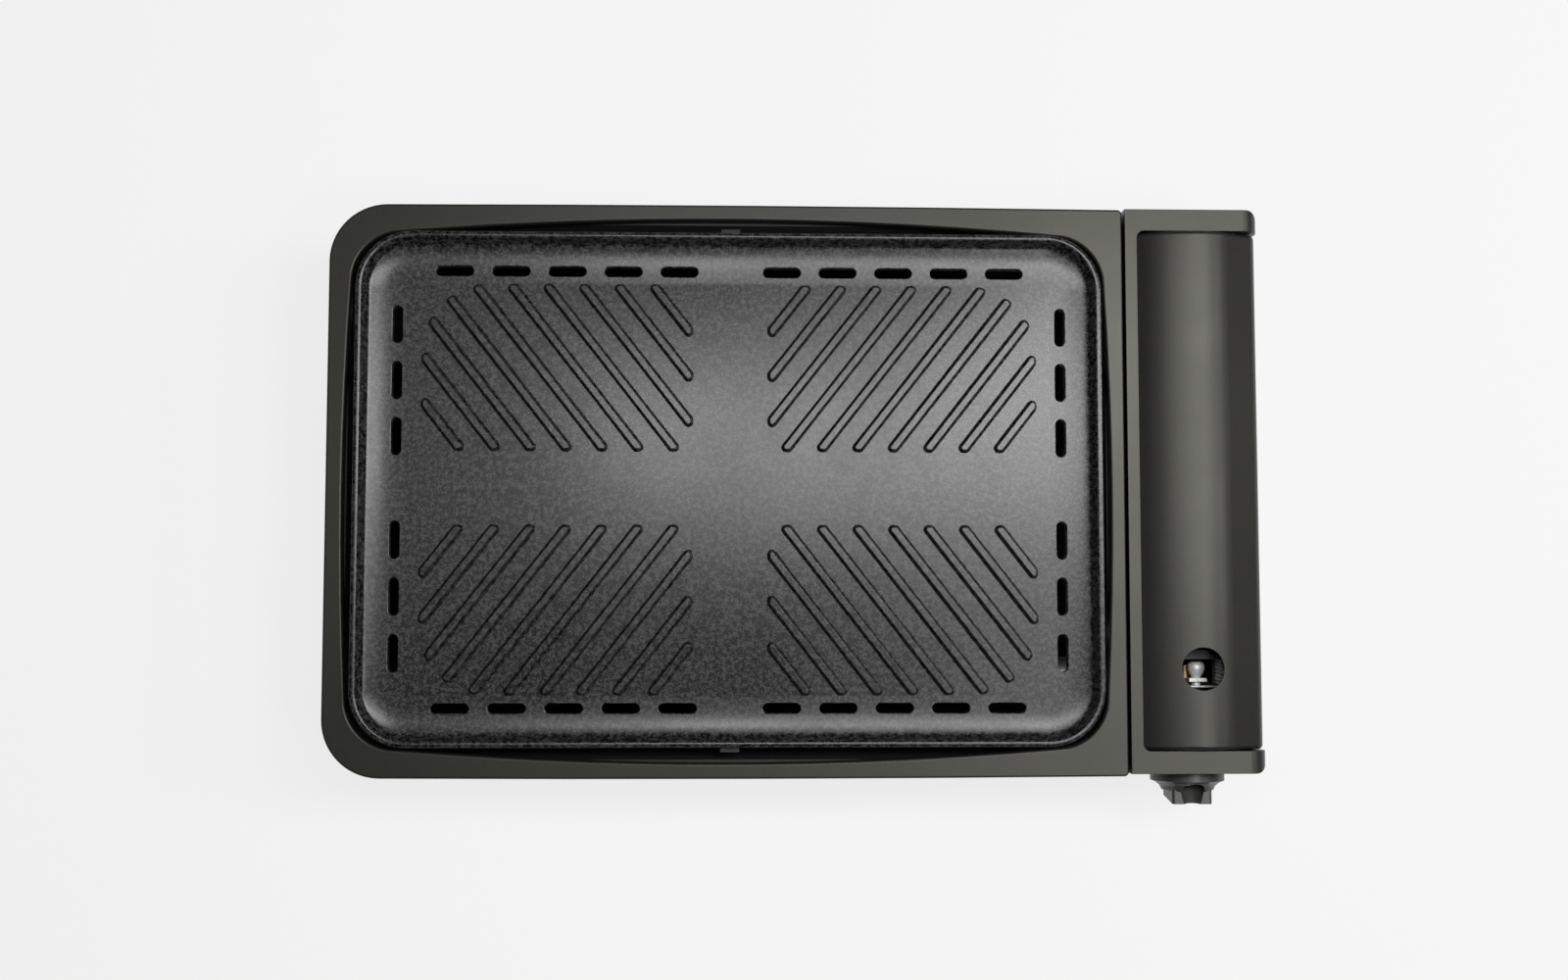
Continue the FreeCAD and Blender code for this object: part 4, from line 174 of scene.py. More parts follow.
@dataclass
class Effects:
    """Shader groups that several finishes share, each built once.

    Attributes:
        fine_share: weight of a coat's fine grain beside its coarse grain.
        pale_band: heights between which a grain turns pale.
        edge_band: bends of the normal between which an edge is rubbed bare.
        smudge_band: noise levels between which a handled patch shows.
        line_stretch: how much closer rolled lines lie than they are long.
    """

    fine_share: float = 0.6
    pale_band: Pair = (0.42, 0.62)
    edge_band: Pair = (0.02, 0.25)
    smudge_band: Pair = (0.35, 0.7)
    line_stretch: float = 30.0

    def __post_init__(self) -> None:
        """Build every group."""
        self.grain = self._grain()
        self.wear = self._wear()
        self.film = self._film()
        self.brush = self._brush()

    @staticmethod
    def _group(name: str, takes: dict[str, float],
               gives: Iterable[str]) -> tuple[Shader, dict, bpy.types.Node]:
        """Start a group with float inputs, and float or normal outputs.

        Args:
            name: the group's name.
            takes: input names and their defaults.
            gives: output names.

        Returns:
            The group's shader, its input sockets by name and its output node.
        """
        tree = bpy.data.node_groups.new(name, "ShaderNodeTree")
        for item, value in takes.items():
            socket = tree.interface.new_socket(item, in_out="INPUT", socket_type="NodeSocketFloat")
            socket.default_value = value
        for item in gives:
            kind = "NodeSocketVector" if item == "Normal" else "NodeSocketFloat"
            tree.interface.new_socket(item, in_out="OUTPUT", socket_type=kind)
        source = tree.nodes.new("NodeGroupInput")
        sink = tree.nodes.new("NodeGroupOutput")
        return Shader(tree), {name: source.outputs[name] for name in takes}, sink

    def _grain(self) -> bpy.types.NodeTree:
        """Return the fine grains of a sprayed coat: a height and a mask of pale grains."""
        shader, takes, sink = self._group("coat_grain", {"Scale": 900.0, "Coarse": 0.4}, ("Height", "Pale"))
        at = shader.place()
        coarse = shader.maths(Operation.MULTIPLY, takes["Scale"], takes["Coarse"])
        fine = shader.add("TexNoise", Vector=at, Scale=takes["Scale"], Detail=3.0, Roughness=0.6)
        wide = shader.add("TexNoise", Vector=at, Scale=coarse, Detail=1.0)
        both = shader.maths(
            Operation.ADD,
            shader.maths(Operation.MULTIPLY, fine.outputs["Fac"], self.fine_share),
            shader.maths(Operation.MULTIPLY, wide.outputs["Fac"], 1 - self.fine_share),
        )
        shader.feed(sink.inputs["Height"], both)
        shader.feed(sink.inputs["Pale"], shader.span(both, self.pale_band))
        return shader.tree

    def _wear(self) -> bpy.types.NodeTree:
        """Return the edges: a softened normal and a mask that is 1 on sharp edges."""
        shader, takes, sink = self._group("edge_wear", {"Radius": 0.0005, "Amount": 1.0}, ("Normal", "Edge"))
        soft = shader.add("Bevel", {"samples": 4}, Radius=takes["Radius"]).outputs[0]
        plain = shader.add("NewGeometry").outputs["Normal"]
        dot = shader.add("VectorMath", {"operation": "DOT_PRODUCT"})
        shader.feed(dot.inputs[0], soft)
        shader.feed(dot.inputs[1], plain)
        turn = shader.maths(Operation.SUBTRACT, 1.0, dot.outputs["Value"])
        sharp = shader.span(turn, self.edge_band)
        mask = shader.maths(Operation.MULTIPLY, sharp, takes["Amount"], clamp=True)
        shader.feed(sink.inputs["Normal"], soft)
        shader.feed(sink.inputs["Edge"], mask)
        return shader.tree

    def _film(self) -> bpy.types.NodeTree:
        """Return the broad smudges of handling, as a mask."""
        shader, takes, sink = self._group("handling_film", {"Scale": 9.0}, ("Smudge",))
        broad = shader.add("TexNoise", Vector=shader.place(), Scale=takes["Scale"], Detail=4.0, Roughness=0.6)
        shader.feed(sink.inputs["Smudge"], shader.span(broad.outputs["Fac"], self.smudge_band))
        return shader.tree

    def _brush(self) -> bpy.types.NodeTree:
        """Return the rolling lines of bare sheet along X, as a height."""
        shader, takes, sink = self._group("rolled_lines", {"Scale": 60.0}, ("Height",))
        stretch = (1.0, self.line_stretch, self.line_stretch)
        along = shader.add("Mapping", Vector=shader.place(), Scale=stretch).outputs[0]
        lines = shader.add("TexNoise", Vector=along, Scale=takes["Scale"], Detail=3.0)
        shader.feed(sink.inputs["Height"], lines.outputs["Fac"])
        return shader.tree


@dataclass(frozen=True)
class Finish:
    """A surface finish that goes on many pieces.

    Attributes:
        name: the material's name.
        colour: main colour.
        roughness: main roughness.
        metallic: 1 on bare metal.
        grain: bump of the coat's grain, in micrometres.
        grain_scale: grains to the metre.
        speckle: how far pale grains stand out from the main colour.
        edge: how bare the edges are rubbed.
        edge_colour: colour of a rubbed edge.
        edge_radius: radius that the light sees on every edge, in millimetres.
        smudge: change of roughness where the surface was handled.
        lines: bump of rolled sheet, in micrometres.
        gloss_tint: tint of the plain gloss.
    """

    name: str
    colour: Colour
    roughness: float
    metallic: float = 0.0
    grain: float = 10.0
    grain_scale: float = 900.0
    speckle: float = 0.1
    edge: float = 0.2
    edge_colour: Colour = (0.2, 0.2, 0.2)
    edge_radius: float = 0.4
    smudge: float = 0.05
    lines: float = 0.0
    gloss_tint: Colour = (1.0, 1.0, 1.0)

    def make(self, effects: Effects) -> bpy.types.Material:
        """Build the material.

        Args:
            effects: the shared shader groups.

        Returns:
            The finished material.
        """
        material = bpy.data.materials.new(self.name)
        material.use_nodes = True
        shader = Shader(material.node_tree)
        principled = material.node_tree.nodes["Principled BSDF"]
        grain = self._group(shader, effects.grain, Scale=self.grain_scale)
        wear = self._group(shader, effects.wear, Radius=self.edge_radius * MM, Amount=self.edge)
        film = self._group(shader, effects.film)
        pale = shader.maths(Operation.MULTIPLY, grain.outputs["Pale"], 2 * self.speckle)
        scaled = shader.add("VectorMath", {"operation": "SCALE"})
        shader.feed(scaled.inputs[0], self.colour)
        shader.feed(scaled.inputs["Scale"], shader.maths(Operation.ADD, 1.0 - self.speckle, pale))
        shader.feed(principled.inputs["Base Color"],
                    shader.mix(wear.outputs["Edge"], scaled.outputs[0], self.edge_colour))
        handled = shader.maths(Operation.MULTIPLY, film.outputs["Smudge"], self.smudge)
        shader.feed(principled.inputs["Roughness"], shader.maths(Operation.ADD, self.roughness, handled))
        principled.inputs["Metallic"].default_value = self.metallic
        principled.inputs["Specular Tint"].default_value = (*self.gloss_tint, 1.0)
        normal = wear.outputs["Normal"]
        if self.lines:
            normal = self._bump(shader, self._group(shader, effects.brush), self.lines, normal)
        if self.grain:
            normal = self._bump(shader, grain, self.grain, normal)
        shader.feed(principled.inputs["Normal"], normal)
        return material

    @staticmethod
    def _bump(shader: Shader, relief: bpy.types.Node, depth: float,
              normal: bpy.types.NodeSocket) -> bpy.types.NodeSocket:
        """Roughen a normal.

        Args:
            shader: the material's shader.
            relief: the node whose height is used.
            depth: bump in micrometres.
            normal: the normal before.

        Returns:
            The normal after.
        """
        return shader.add("Bump", Strength=1.0, Distance=depth * MICRON, Height=relief.outputs["Height"],
                          Normal=normal).outputs[0]

    @staticmethod
    def _group(shader: Shader, tree: bpy.types.NodeTree, **inputs: float) -> bpy.types.Node:
        """Place a shared group in the material.

        Args:
            shader: the material's shader.
            tree: the group.
            inputs: the material's own values.

        Returns:
            The group's node.
        """
        node = shader.tree.nodes.new("ShaderNodeGroup")
        node.node_tree = tree
        for name, value in inputs.items():
            node.inputs[name].default_value = value
        return node


def mesh_object(name: str, points: Sequence[Sequence[float]],
                faces: Sequence[Sequence[int]]) -> bpy.types.Object:
    """Make a mesh object in the scene.

    Args:
        name: the object's name.
        points: corners in metres.
        faces: corner numbers of each face.

    Returns:
        The new object.
    """
    mesh = bpy.data.meshes.new(name)
    mesh.from_pydata([tuple(point) for point in points], [], [tuple(face) for face in faces])
    mesh.validate()
    thing = bpy.data.objects.new(name, mesh)
    bpy.context.scene.collection.objects.link(thing)
    return thing


def smooth(thing: bpy.types.Object, degrees: float) -> None:
    """Shade a mesh smooth, apart from its sharp edges.

    Args:
        thing: the object.
        degrees: angle from which an edge stays sharp.
    """
    mesh = thing.data
    work = bmesh.new()
    work.from_mesh(mesh)
    limit = math.radians(degrees)
    for face in work.faces:
        face.smooth = True
    for edge in work.edges:
        edge.smooth = len(edge.link_faces) == 2 and edge.calc_face_angle(0.0) < limit
    work.to_mesh(mesh)
    work.free()


def apply_modifiers(thing: bpy.types.Object) -> None:
    """Replace an object's mesh by its evaluated mesh, and drop its modifiers.

    Args:
        thing: the object.
    """
    bpy.context.view_layer.update()
    graph = bpy.context.evaluated_depsgraph_get()
    mesh = bpy.data.meshes.new_from_object(thing.evaluated_get(graph))
    thing.modifiers.clear()
    thing.data = mesh


def stacked(loops: Sequence[np.ndarray], cap_first: bool = True) -> tuple[list, list]:
    """Join closed loops of equal length into a skin whose last loop is closed by a face.

    Args:
        loops: arrays of points, each one closed loop.
        cap_first: close the first loop with a face too.

    Returns:
        Points and faces.
    """
    count = len(loops[0])
    points = [tuple(point) for loop in loops for point in loop]
    faces: list[list[int]] = []
    for row in range(len(loops) - 1):
        for index in range(count):
            after = (index + 1) % count
            a, b = row * count + index, row * count + after
            faces.append([a, b, b + count, a + count])
    if cap_first:
        faces.append(list(range(count))[::-1])
    faces.append(list(range((len(loops) - 1) * count, len(loops) * count)))
    return points, faces


def gathered(name: str, skins: Iterable[tuple[list, list]]) -> bpy.types.Object:
    """Make one mesh object of several skins.

    Args:
        name: the object's name.
        skins: points and faces of each skin.

    Returns:
        The new object.
    """
    points: list = []
    faces: list = []
    for more, skin in skins:
        base = len(points)
        points += more
        faces += [[base + index for index in face] for face in skin]
    return mesh_object(name, points, faces)


def stadium(start: np.ndarray, end: np.ndarray, radius: float, turns: int = 8) -> np.ndarray:
    """Return the outline of a long rounded bar, as points in a level plane.

    Args:
        start: centre of the first round end.
        end: centre of the second round end.
        radius: half width.
        turns: steps round each end.

    Returns:
        An array of (x, y) points, counter-clockwise.
    """
    along = (end - start) / np.linalg.norm(end - start)
    side = np.array([-along[1], along[0]])
    points = []
    for centre, sign in ((end, 1.0), (start, -1.0)):
        for step in range(turns + 1):
            angle = -math.pi / 2 + math.pi * step / turns
            points.append(centre + sign * radius * (math.cos(angle) * along + math.sin(angle) * side))
    return np.array(points)


def clipped(points: Outline, normal: Pair, limit: float) -> Outline:
    """Cut a convex outline along a line.

    Args:
        points: the outline's corners.
        normal: the line's direction outward, of length 1.
        limit: the line's distance from the origin.

    Returns:
        The part on the inner side of the line.
    """
    kept = []
    for one, two in zip(points, points[1:] + points[:1]):
        before = one[0] * normal[0] + one[1] * normal[1] - limit
        after = two[0] * normal[0] + two[1] * normal[1] - limit
        if before <= 0:
            kept.append(one)
        if before * after < 0:
            share = before / (before - after)
            kept.append((one[0] + share * (two[0] - one[0]), one[1] + share * (two[1] - one[1])))
    return kept


def rounded(points: Outline, radius: float, turns: int = 4) -> np.ndarray:
    """Grow a convex outline and round its corners.

    Args:
        points: corners, counter-clockwise.
        radius: distance to grow by.
        turns: steps round each corner.

    Returns:
        An array of (x, y) points, counter-clockwise.
    """
    corners = np.array(points)
    way = np.roll(corners, -1, axis=0) - corners
    angles = np.arctan2(way[:, 1], way[:, 0]) - math.pi / 2
    loop = []
    for index, corner in enumerate(corners):
        start = angles[index - 1]
        turn = (angles[index] - start) % (2 * math.pi)
        for step in range(turns + 1):
            angle = start + turn * step / turns
            loop.append(corner + radius * np.array([math.cos(angle), math.sin(angle)]))
    return np.array(loop)


@dataclass
class Ribs:
    """Slanting ribs of the griddle plate, in four mirrored blocks. Sizes in millimetres.

    Attributes:
        angle: slant from X, in degrees.
        pitch: distance between middle lines along X.
        foot: width of a rib's strip in its block.
        crown: width at a rib's upper edge.
        height: height above the plate.
        corner: radius of a rib's corners.
        block: length and depth of one block.
        middle: place of the block's middle from the plate's middle.
        block_corner: radius of the block's outer corner.
        tried: ribs that are tried on each side of the block's middle.
        foot_rows: distance outside the upper edge, and height above the plate.
        top_rows: distance outside the upper edge, and depth below the rib's top.
    """

    angle: float = 52.0
    pitch: float = 19.0
    foot: float = 5.2
    crown: float = 3.0
    height: float = 3.0
    corner: float = 1.0
    block: Pair = (144.0, 89.6)
    middle: Pair = (92.2, 64.6)
    block_corner: float = 36.0
    tried: int = 8
    foot_rows: Rows = ((1.8, -0.1), (1.5, 0.06), (1.3, 0.3), (1.15, 0.7))
    top_rows: Rows = ((0.1, 0.2), (0.0, 0.04), (-0.12, 0.0))

    def profile(self) -> Rows:
        """Return the rows of a rib's side from the foot up: distance outside the upper edge, and height."""
        return self.foot_rows + tuple((spread, self.height - depth) for spread, depth in self.top_rows)

    def core(self, offset: float, shrink: float) -> Outline:
        """Return one rib's outline in its block, shrunk on all sides.

        Args:
            offset: place of the rib's middle line along X.
            shrink: distance inside the rib's foot.

        Returns:
            Corners, counter-clockwise; the block's outer corner is at high X and Y.
        """
        angle = math.radians(self.angle)
        half_x, half_y = self.block[0] / 2 - shrink, self.block[1] / 2 - shrink
        across = (math.sin(angle), -math.cos(angle))
        along = (math.cos(angle), math.sin(angle))
        points = [(-half_x, -half_y), (half_x, -half_y), (half_x, half_y), (-half_x, half_y)]
        points = clipped(points, across, offset * across[0] + self.foot / 2 - shrink)
        points = clipped(points, (-across[0], -across[1]), self.foot / 2 - shrink - offset * across[0])
        round_x, round_y = self.block[0] / 2 - self.block_corner, self.block[1] / 2 - self.block_corner
        start = (offset - round_x, -round_y)
        half_way = start[0] * along[0] + start[1] * along[1]
        beyond = half_way ** 2 - start[0] ** 2 - start[1] ** 2 + self.block_corner ** 2
        if beyond > 0:
            reach = math.sqrt(beyond) - half_way
            meeting = (start[0] + reach * along[0], start[1] + reach * along[1])
            if min(meeting) > 0:
                normal = (meeting[0] / self.block_corner, meeting[1] / self.block_corner)
                limit = self.block_corner - shrink + round_x * normal[0] + round_y * normal[1]
                points = clipped(points, normal, limit)
        return points

    def cores(self) -> list[Outline]:
        """Place every rib that is long enough in all four blocks.

        Returns:
            The shrunk outlines, measured from the plate's middle.
        """
        shrink = (self.foot - self.crown) / 2 + self.corner
        shortest = 2 * self.foot
        found = []
        for index in range(-self.tried, self.tried):
            core = self.core((index + 0.5) * self.pitch, shrink)
            if not core or max(math.dist(one, two) for one, two in zip(core, core[1:] + core[:1])) < shortest:
                continue
            for flip_x in (-1, 1):
                for flip_y in (-1, 1):
                    points = [(flip_x * (self.middle[0] + x), flip_y * (self.middle[1] + y)) for x, y in core]
                    found.append(points if flip_x * flip_y > 0 else points[::-1])
        return found


@dataclass
class GrillPlate:
    """Cast griddle plate with its rim, slotted gutter, crowned middle and slanting ribs.

    All sizes are in millimetres; places are measured from the plate's middle and its rim's top.

    Attributes:
        corner: radius of the plate's outer corners.
        rim_width: width of the rim's upper face.
        rim_height: height of the rim's outside.
        rim_edge: radius of the rim's outer edges.
        rim_crown: rise of the rim's middle over its edges.
        rim_fillet: width of the bend from the rim into the basin's wall.
        rim_outer: share of the way from the rim's outer edge to its middle, and fall in crowns.
        rim_inner: share of the way from the rim's inner edge to its middle, and fall in crowns.
        wall: distance inside the rim's inner edge, and depth, down the basin's concave wall.
        wall_width: width of that wall.
        basin_inset: place of the basin's outside inside the rim's edge.
        foot_bevel: bevel of the basin's lower edge.
        gutter_drop: depth of the gutter.
        floor: thickness under the gutter.
        gutter_width: distance from the rim's edge to the crowned middle.
        plateau_corner: radius of the crowned middle's corners.
        plateau_rise: rise of the crowned middle.
        plateau_rows: distances past the gutter where the mesh has loops.
        plateau_loops: loops from there to the plate's middle line.
        slot_length: length of a slot over its round ends.
        slot_width: width of a slot.
        slot_pitch: distance between slots in a row.
        slot_start: place of a row's first slot from the plate's middle.
        slot_inset_long: distance of the long rows from the rim's edge.
        slot_inset_short: distance of the short rows from the rim's edge.
        slot_edge: radius of a slot's upper edge.
        slots_long: slots in each half of a long row.
        slots_short: slots in each half of a short row.
        cut_margin: how far a cutter stands out of the plate.
        corner_steps: steps round a corner.
        long_steps: steps along a long side.
        short_steps: steps along a short side.
        edge_steps: points round a small edge.
        slope_step: half the distance over which a slope is measured.
        sharp_from: angle in degrees from which an edge stays sharp.
        same_way: cosine of the largest angle between a face and the cooking face, where it
            still takes the cooking face's normals; about 9 degrees, so that no slot's edge does.
    """

    corner: float = 30.0
    rim_width: float = 3.2
    rim_height: float = 5.0
    rim_edge: float = 0.6
    rim_crown: float = 0.35
    rim_fillet: float = 0.2
    rim_outer: Rows = ((0.0, 1.0), (0.4, 0.36), (0.7, 0.09), (1.0, 0.0))
    rim_inner: Rows = ((0.7, 0.09), (0.4, 0.36), (0.15, 0.75), (0.0, 1.2))
    wall: Rows = (
        (0.2, 0.7), (0.4, 1.05), (2.45, 5.25), (2.7, 5.65), (3.0, 5.93), (3.4, 6.12), (4.5, 6.42),
        (6.0, 6.76), (8.0, 7.12), (10.5, 7.42), (13.5, 7.64), (17.0, 7.76),
    )
    wall_width: float = 20.8
    basin_inset: float = 3.0
    foot_bevel: float = 1.5
    gutter_drop: float = 7.8
    floor: float = 4.5
    gutter_width: float = 25.9
    plateau_corner: float = 14.0
    plateau_rise: float = 2.3
    plateau_rows: tuple[float, ...] = (-0.5, 1.5, 3.5, 5.5, 8.0)
    plateau_loops: int = 25
    slot_length: float = 20.0
    slot_width: float = 5.2
    slot_pitch: float = 30.0
    slot_start: float = 27.55
    slot_inset_long: float = 20.13
    slot_inset_short: float = 21.34
    slot_edge: float = 0.5
    slots_long: int = 5
    slots_short: int = 3
    cut_margin: float = 1.0
    corner_steps: int = 16
    long_steps: int = 30
    short_steps: int = 20
    edge_steps: int = 5
    slope_step: float = 0.2
    sharp_from: float = 30.0
    same_way: float = 0.988

    def __post_init__(self) -> None:
        """Read the plate's place and outer size from the frame."""
        low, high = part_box("grill_plate")
        self.middle = (low + high) / 2 / MM
        self.top = high.z / MM
        self.half_x = (high.x - low.x) / 2 / MM
        self.half_y = (high.y - low.y) / 2 / MM
        self.profile = self.rim_and_wall()

    def rim_and_wall(self) -> np.ndarray:
        """Work out the upper face from the rim's outer edge to the gutter's floor.

        Returns:
            Rows of the distance inside the rim's edge, and the height above the rim's top.
        """
        middle = (self.rim_edge + self.rim_width - self.rim_fillet) / 2
        rows = []
        for edge, shares in ((self.rim_edge, self.rim_outer), (self.rim_width, self.rim_inner)):
            rows += [(edge + share * (middle - edge), -fall * self.rim_crown) for share, fall in shares]
        rows += [(self.rim_width + inside, -depth) for inside, depth in self.wall]
        rows.append((self.rim_width + self.wall_width, -self.gutter_drop))
        return np.array(rows)

    def inset(self, plan: np.ndarray) -> np.ndarray:
        """Measure how far points are inside the rim's edge, round its corners too.

        Args:
            plan: (x, y) points.

        Returns:
            The distance of each point.
        """
        beside = np.column_stack([self.half_x - np.abs(plan[:, 0]), self.half_y - np.abs(plan[:, 1])])
        straight = beside.min(axis=1)
        turn = self.corner - np.hypot(*np.maximum(self.corner - beside, 0).T)
        radius = self.plateau_corner
        total = beside.sum(axis=1)
        root = np.sqrt(np.maximum(total ** 2 - 2 * ((beside ** 2).sum(axis=1) - radius ** 2), 0))
        inner = (total + root) / 2 - radius
        deep = turn > self.corner - radius
        reach = np.where(deep, inner + radius, self.corner)
        in_turn = (beside < reach[:, None]).all(axis=1)
        return np.where(in_turn, np.where(deep, inner, turn), straight)

    def height(self, plan: np.ndarray) -> np.ndarray:
        """Measure the upper face without its ribs.

        Args:
            plan: (x, y) points.

        Returns:
            The height above the rim's top at each point.
        """
        level = np.interp(self.inset(plan), self.profile[:, 0], self.profile[:, 1])
        half = np.array([self.half_x - self.gutter_width, self.half_y - self.gutter_width])
        share = np.clip(1 - (plan / half) ** 2, 0, 1)
        return level + self.plateau_rise * share.prod(axis=1)

    def slope_normals(self, plan: np.ndarray) -> np.ndarray:
        """Work out the upper face's normals.

        Args:
            plan: (x, y) points.

        Returns:
            The normal at each point.
        """
        step = self.slope_step
        along = [(self.height(plan + move) - self.height(plan - move)) / (2 * step)
                 for move in (np.array([step, 0.0]), np.array([0.0, step]))]
        normals = np.column_stack([-along[0], -along[1], np.ones(len(plan))])
        return normals / np.linalg.norm(normals, axis=1)[:, None]

    def loop(self, inset: float) -> np.ndarray:
        """Lay a round-cornered rectangle inside the rim's edge.

        Args:
            inset: distance inside the edge.

        Returns:
            Its (x, y) points, counter-clockwise.
        """
        radius = max(self.corner - inset, self.plateau_corner)
        reach_x, reach_y = self.half_x - inset - radius, self.half_y - inset - radius
        points: Outline = []
        corners = (
            (1, -1, -90, self.short_steps),
            (1, 1, 0, self.long_steps),
            (-1, 1, 90, self.short_steps),
            (-1, -1, 180, self.long_steps),
        )
        for number, (sign_x, sign_y, start, steps) in enumerate(corners):
            for step in range(self.corner_steps + 1):
                angle = math.radians(start + 90 * step / self.corner_steps)
                points.append((sign_x * reach_x + radius * math.cos(angle),
                               sign_y * reach_y + radius * math.sin(angle)))
            after = corners[(number + 1) % 4]
            angle = math.radians(after[2])
            goal = (after[0] * reach_x + radius * math.cos(angle),
                    after[1] * reach_y + radius * math.sin(angle))
            last = points[-1]
            for step in range(1, steps):
                share = step / steps
                points.append((last[0] + share * (goal[0] - last[0]), last[1] + share * (goal[1] - last[1])))
        return np.array(points)

    def placed(self, plan: np.ndarray, level: float | np.ndarray) -> np.ndarray:
        """Return the plan's points in metres at a height above the rim's top."""
        height = np.full(len(plan), self.top) + level
        return np.column_stack([plan[:, 0] + self.middle.x, plan[:, 1] + self.middle.y, height]) * MM

    def quarter(self) -> np.ndarray:
        """Return the angles round a small edge, from a quarter turn to 0."""
        return np.linspace(math.pi / 2, 0, self.edge_steps)

    def body(self) -> bpy.types.Object:
        """Build the closed casting without slots and ribs.

        Returns:
            The casting.
        """
        under = -self.gutter_drop - self.floor
        edge = self.rim_edge
        outside = [
            (self.basin_inset + self.foot_bevel, under),
            (self.basin_inset, under + self.foot_bevel),
            (self.basin_inset, -self.rim_height),
            (edge, -self.rim_height),
            (0.0, -self.rim_height + edge),
        ]
        outside += [(edge * (1 - math.sin(angle)), -self.rim_crown - edge * (1 - math.cos(angle)))
                    for angle in self.quarter()[:-1]]
        loops = [self.placed(self.loop(inset), level) for inset, level in outside]
        for inset in list(self.profile[:, 0]) + [self.gutter_width + past for past in self.plateau_rows]:
            plan = self.loop(inset)
            loops.append(self.placed(plan, self.height(plan)))
        reach = self.half_x - self.half_y
        spine = np.column_stack([np.clip(plan[:, 0], -reach, reach), np.zeros(len(plan))])
        for share in np.linspace(1, 0, self.plateau_loops + 1)[1:-1]:
            inner = spine + (plan - spine) * share
            loops.append(self.placed(inner, self.height(inner)))
        return mesh_object("griddle_plate", *stacked(loops))

    def slots(self) -> list[tuple[np.ndarray, np.ndarray]]:
        """Lay out the slots.

        Returns:
            The ends of every slot's middle line.
        """
        reach = self.slot_length / 2 - self.slot_width / 2
        places = []
        for index in range(self.slots_long):
            along = self.slot_start + index * self.slot_pitch
            places.append(((along, self.half_y - self.slot_inset_long), np.array([reach, 0.0])))
        for index in range(self.slots_short):
            along = self.slot_start + index * self.slot_pitch
            places.append(((self.half_x - self.slot_inset_short, along), np.array([0.0, reach])))
        rows = []
        for place, way in places:
            for flip in ((-1, -1), (-1, 1), (1, -1), (1, 1)):
                centre = np.array(place) * np.array(flip)
                rows.append((centre - way, centre + way))
        return rows

    def cutters(self) -> bpy.types.Object:
        """Build the slots' cutting bodies, flared at the plate's upper face.

        Returns:
            One object with all of them.
        """
        skins = []
        radius, edge, margin = self.slot_width / 2, self.slot_edge, self.cut_margin
        for start, end in self.slots():
            lip = self.height(((start + end) / 2)[None, :])[0]
            steps = [(radius + edge, lip + margin)]
            steps += [(radius + edge * (1 - math.cos(angle)), lip - edge * (1 - math.sin(angle)))
                      for angle in self.quarter()]
            steps += [(radius, -self.gutter_drop - self.floor - margin)]
            loops = [self.placed(stadium(start, end, width), level) for width, level in steps[::-1]]
            skins.append(stacked(loops))
        return gathered("slot_cutters", skins)

    def ribs(self) -> bpy.types.Object:
        """Build the ribs, with flat crowns and steep sides.

        Returns:
            One object with all of them.
        """
        ribs = Ribs()
        skins = []
        for core in ribs.cores():
            loops = []
            for spread, level in ribs.profile():
                plan = rounded(core, ribs.corner + spread)
                loops.append(self.placed(plan, self.height(plan) + level))
            skins.append(stacked(loops, cap_first=False))
        return gathered("griddle_ribs", skins)

    def shade(self, piece: bpy.types.Object) -> None:
        """Give the faces that lie along the cooking face its own normals, so that no facet shows.

        Args:
            piece: the casting or the ribs.
        """
        smooth(piece, self.sharp_from)
        mesh = piece.data
        middle = np.array([self.middle.x, self.middle.y])
        plan = np.array([vertex.co[:2] for vertex in mesh.vertices]) / MM - middle
        normals = self.slope_normals(plan)
        insets = self.inset(plan)
        centres = np.array([face.center[:2] for face in mesh.polygons]) / MM - middle
        inside = self.rim_width + self.rim_fillet
        custom = [tuple(normal.vector) for normal in mesh.corner_normals]
        for face, normal in zip(mesh.polygons, self.slope_normals(centres)):
            rows = list(face.vertices)
            if Vector(normal).dot(face.normal) > self.same_way and insets[rows].min() > inside:
                for loop, row in zip(face.loop_indices, rows):
                    custom[loop] = tuple(normals[row])
        mesh.normals_split_custom_set(custom)

    def build(self, coat: bpy.types.Material) -> list[bpy.types.Object]:
        """Build and dress the plate.

        Args:
            coat: the plate's finish.

        Returns:
            The pieces made.
        """
        plate = self.body()
        cutters = self.cutters()
        boolean = plate.modifiers.new("slots", "BOOLEAN")
        boolean.operation = "DIFFERENCE"
        boolean.solver = "EXACT"
        boolean.object = cutters
        apply_modifiers(plate)
        bpy.data.objects.remove(cutters)
        ribs = self.ribs()
        for piece in (plate, ribs):
            self.shade(piece)
            piece.data.materials.append(coat)
            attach(piece, "plate")
            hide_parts("grill_plate")
        return [plate, ribs]


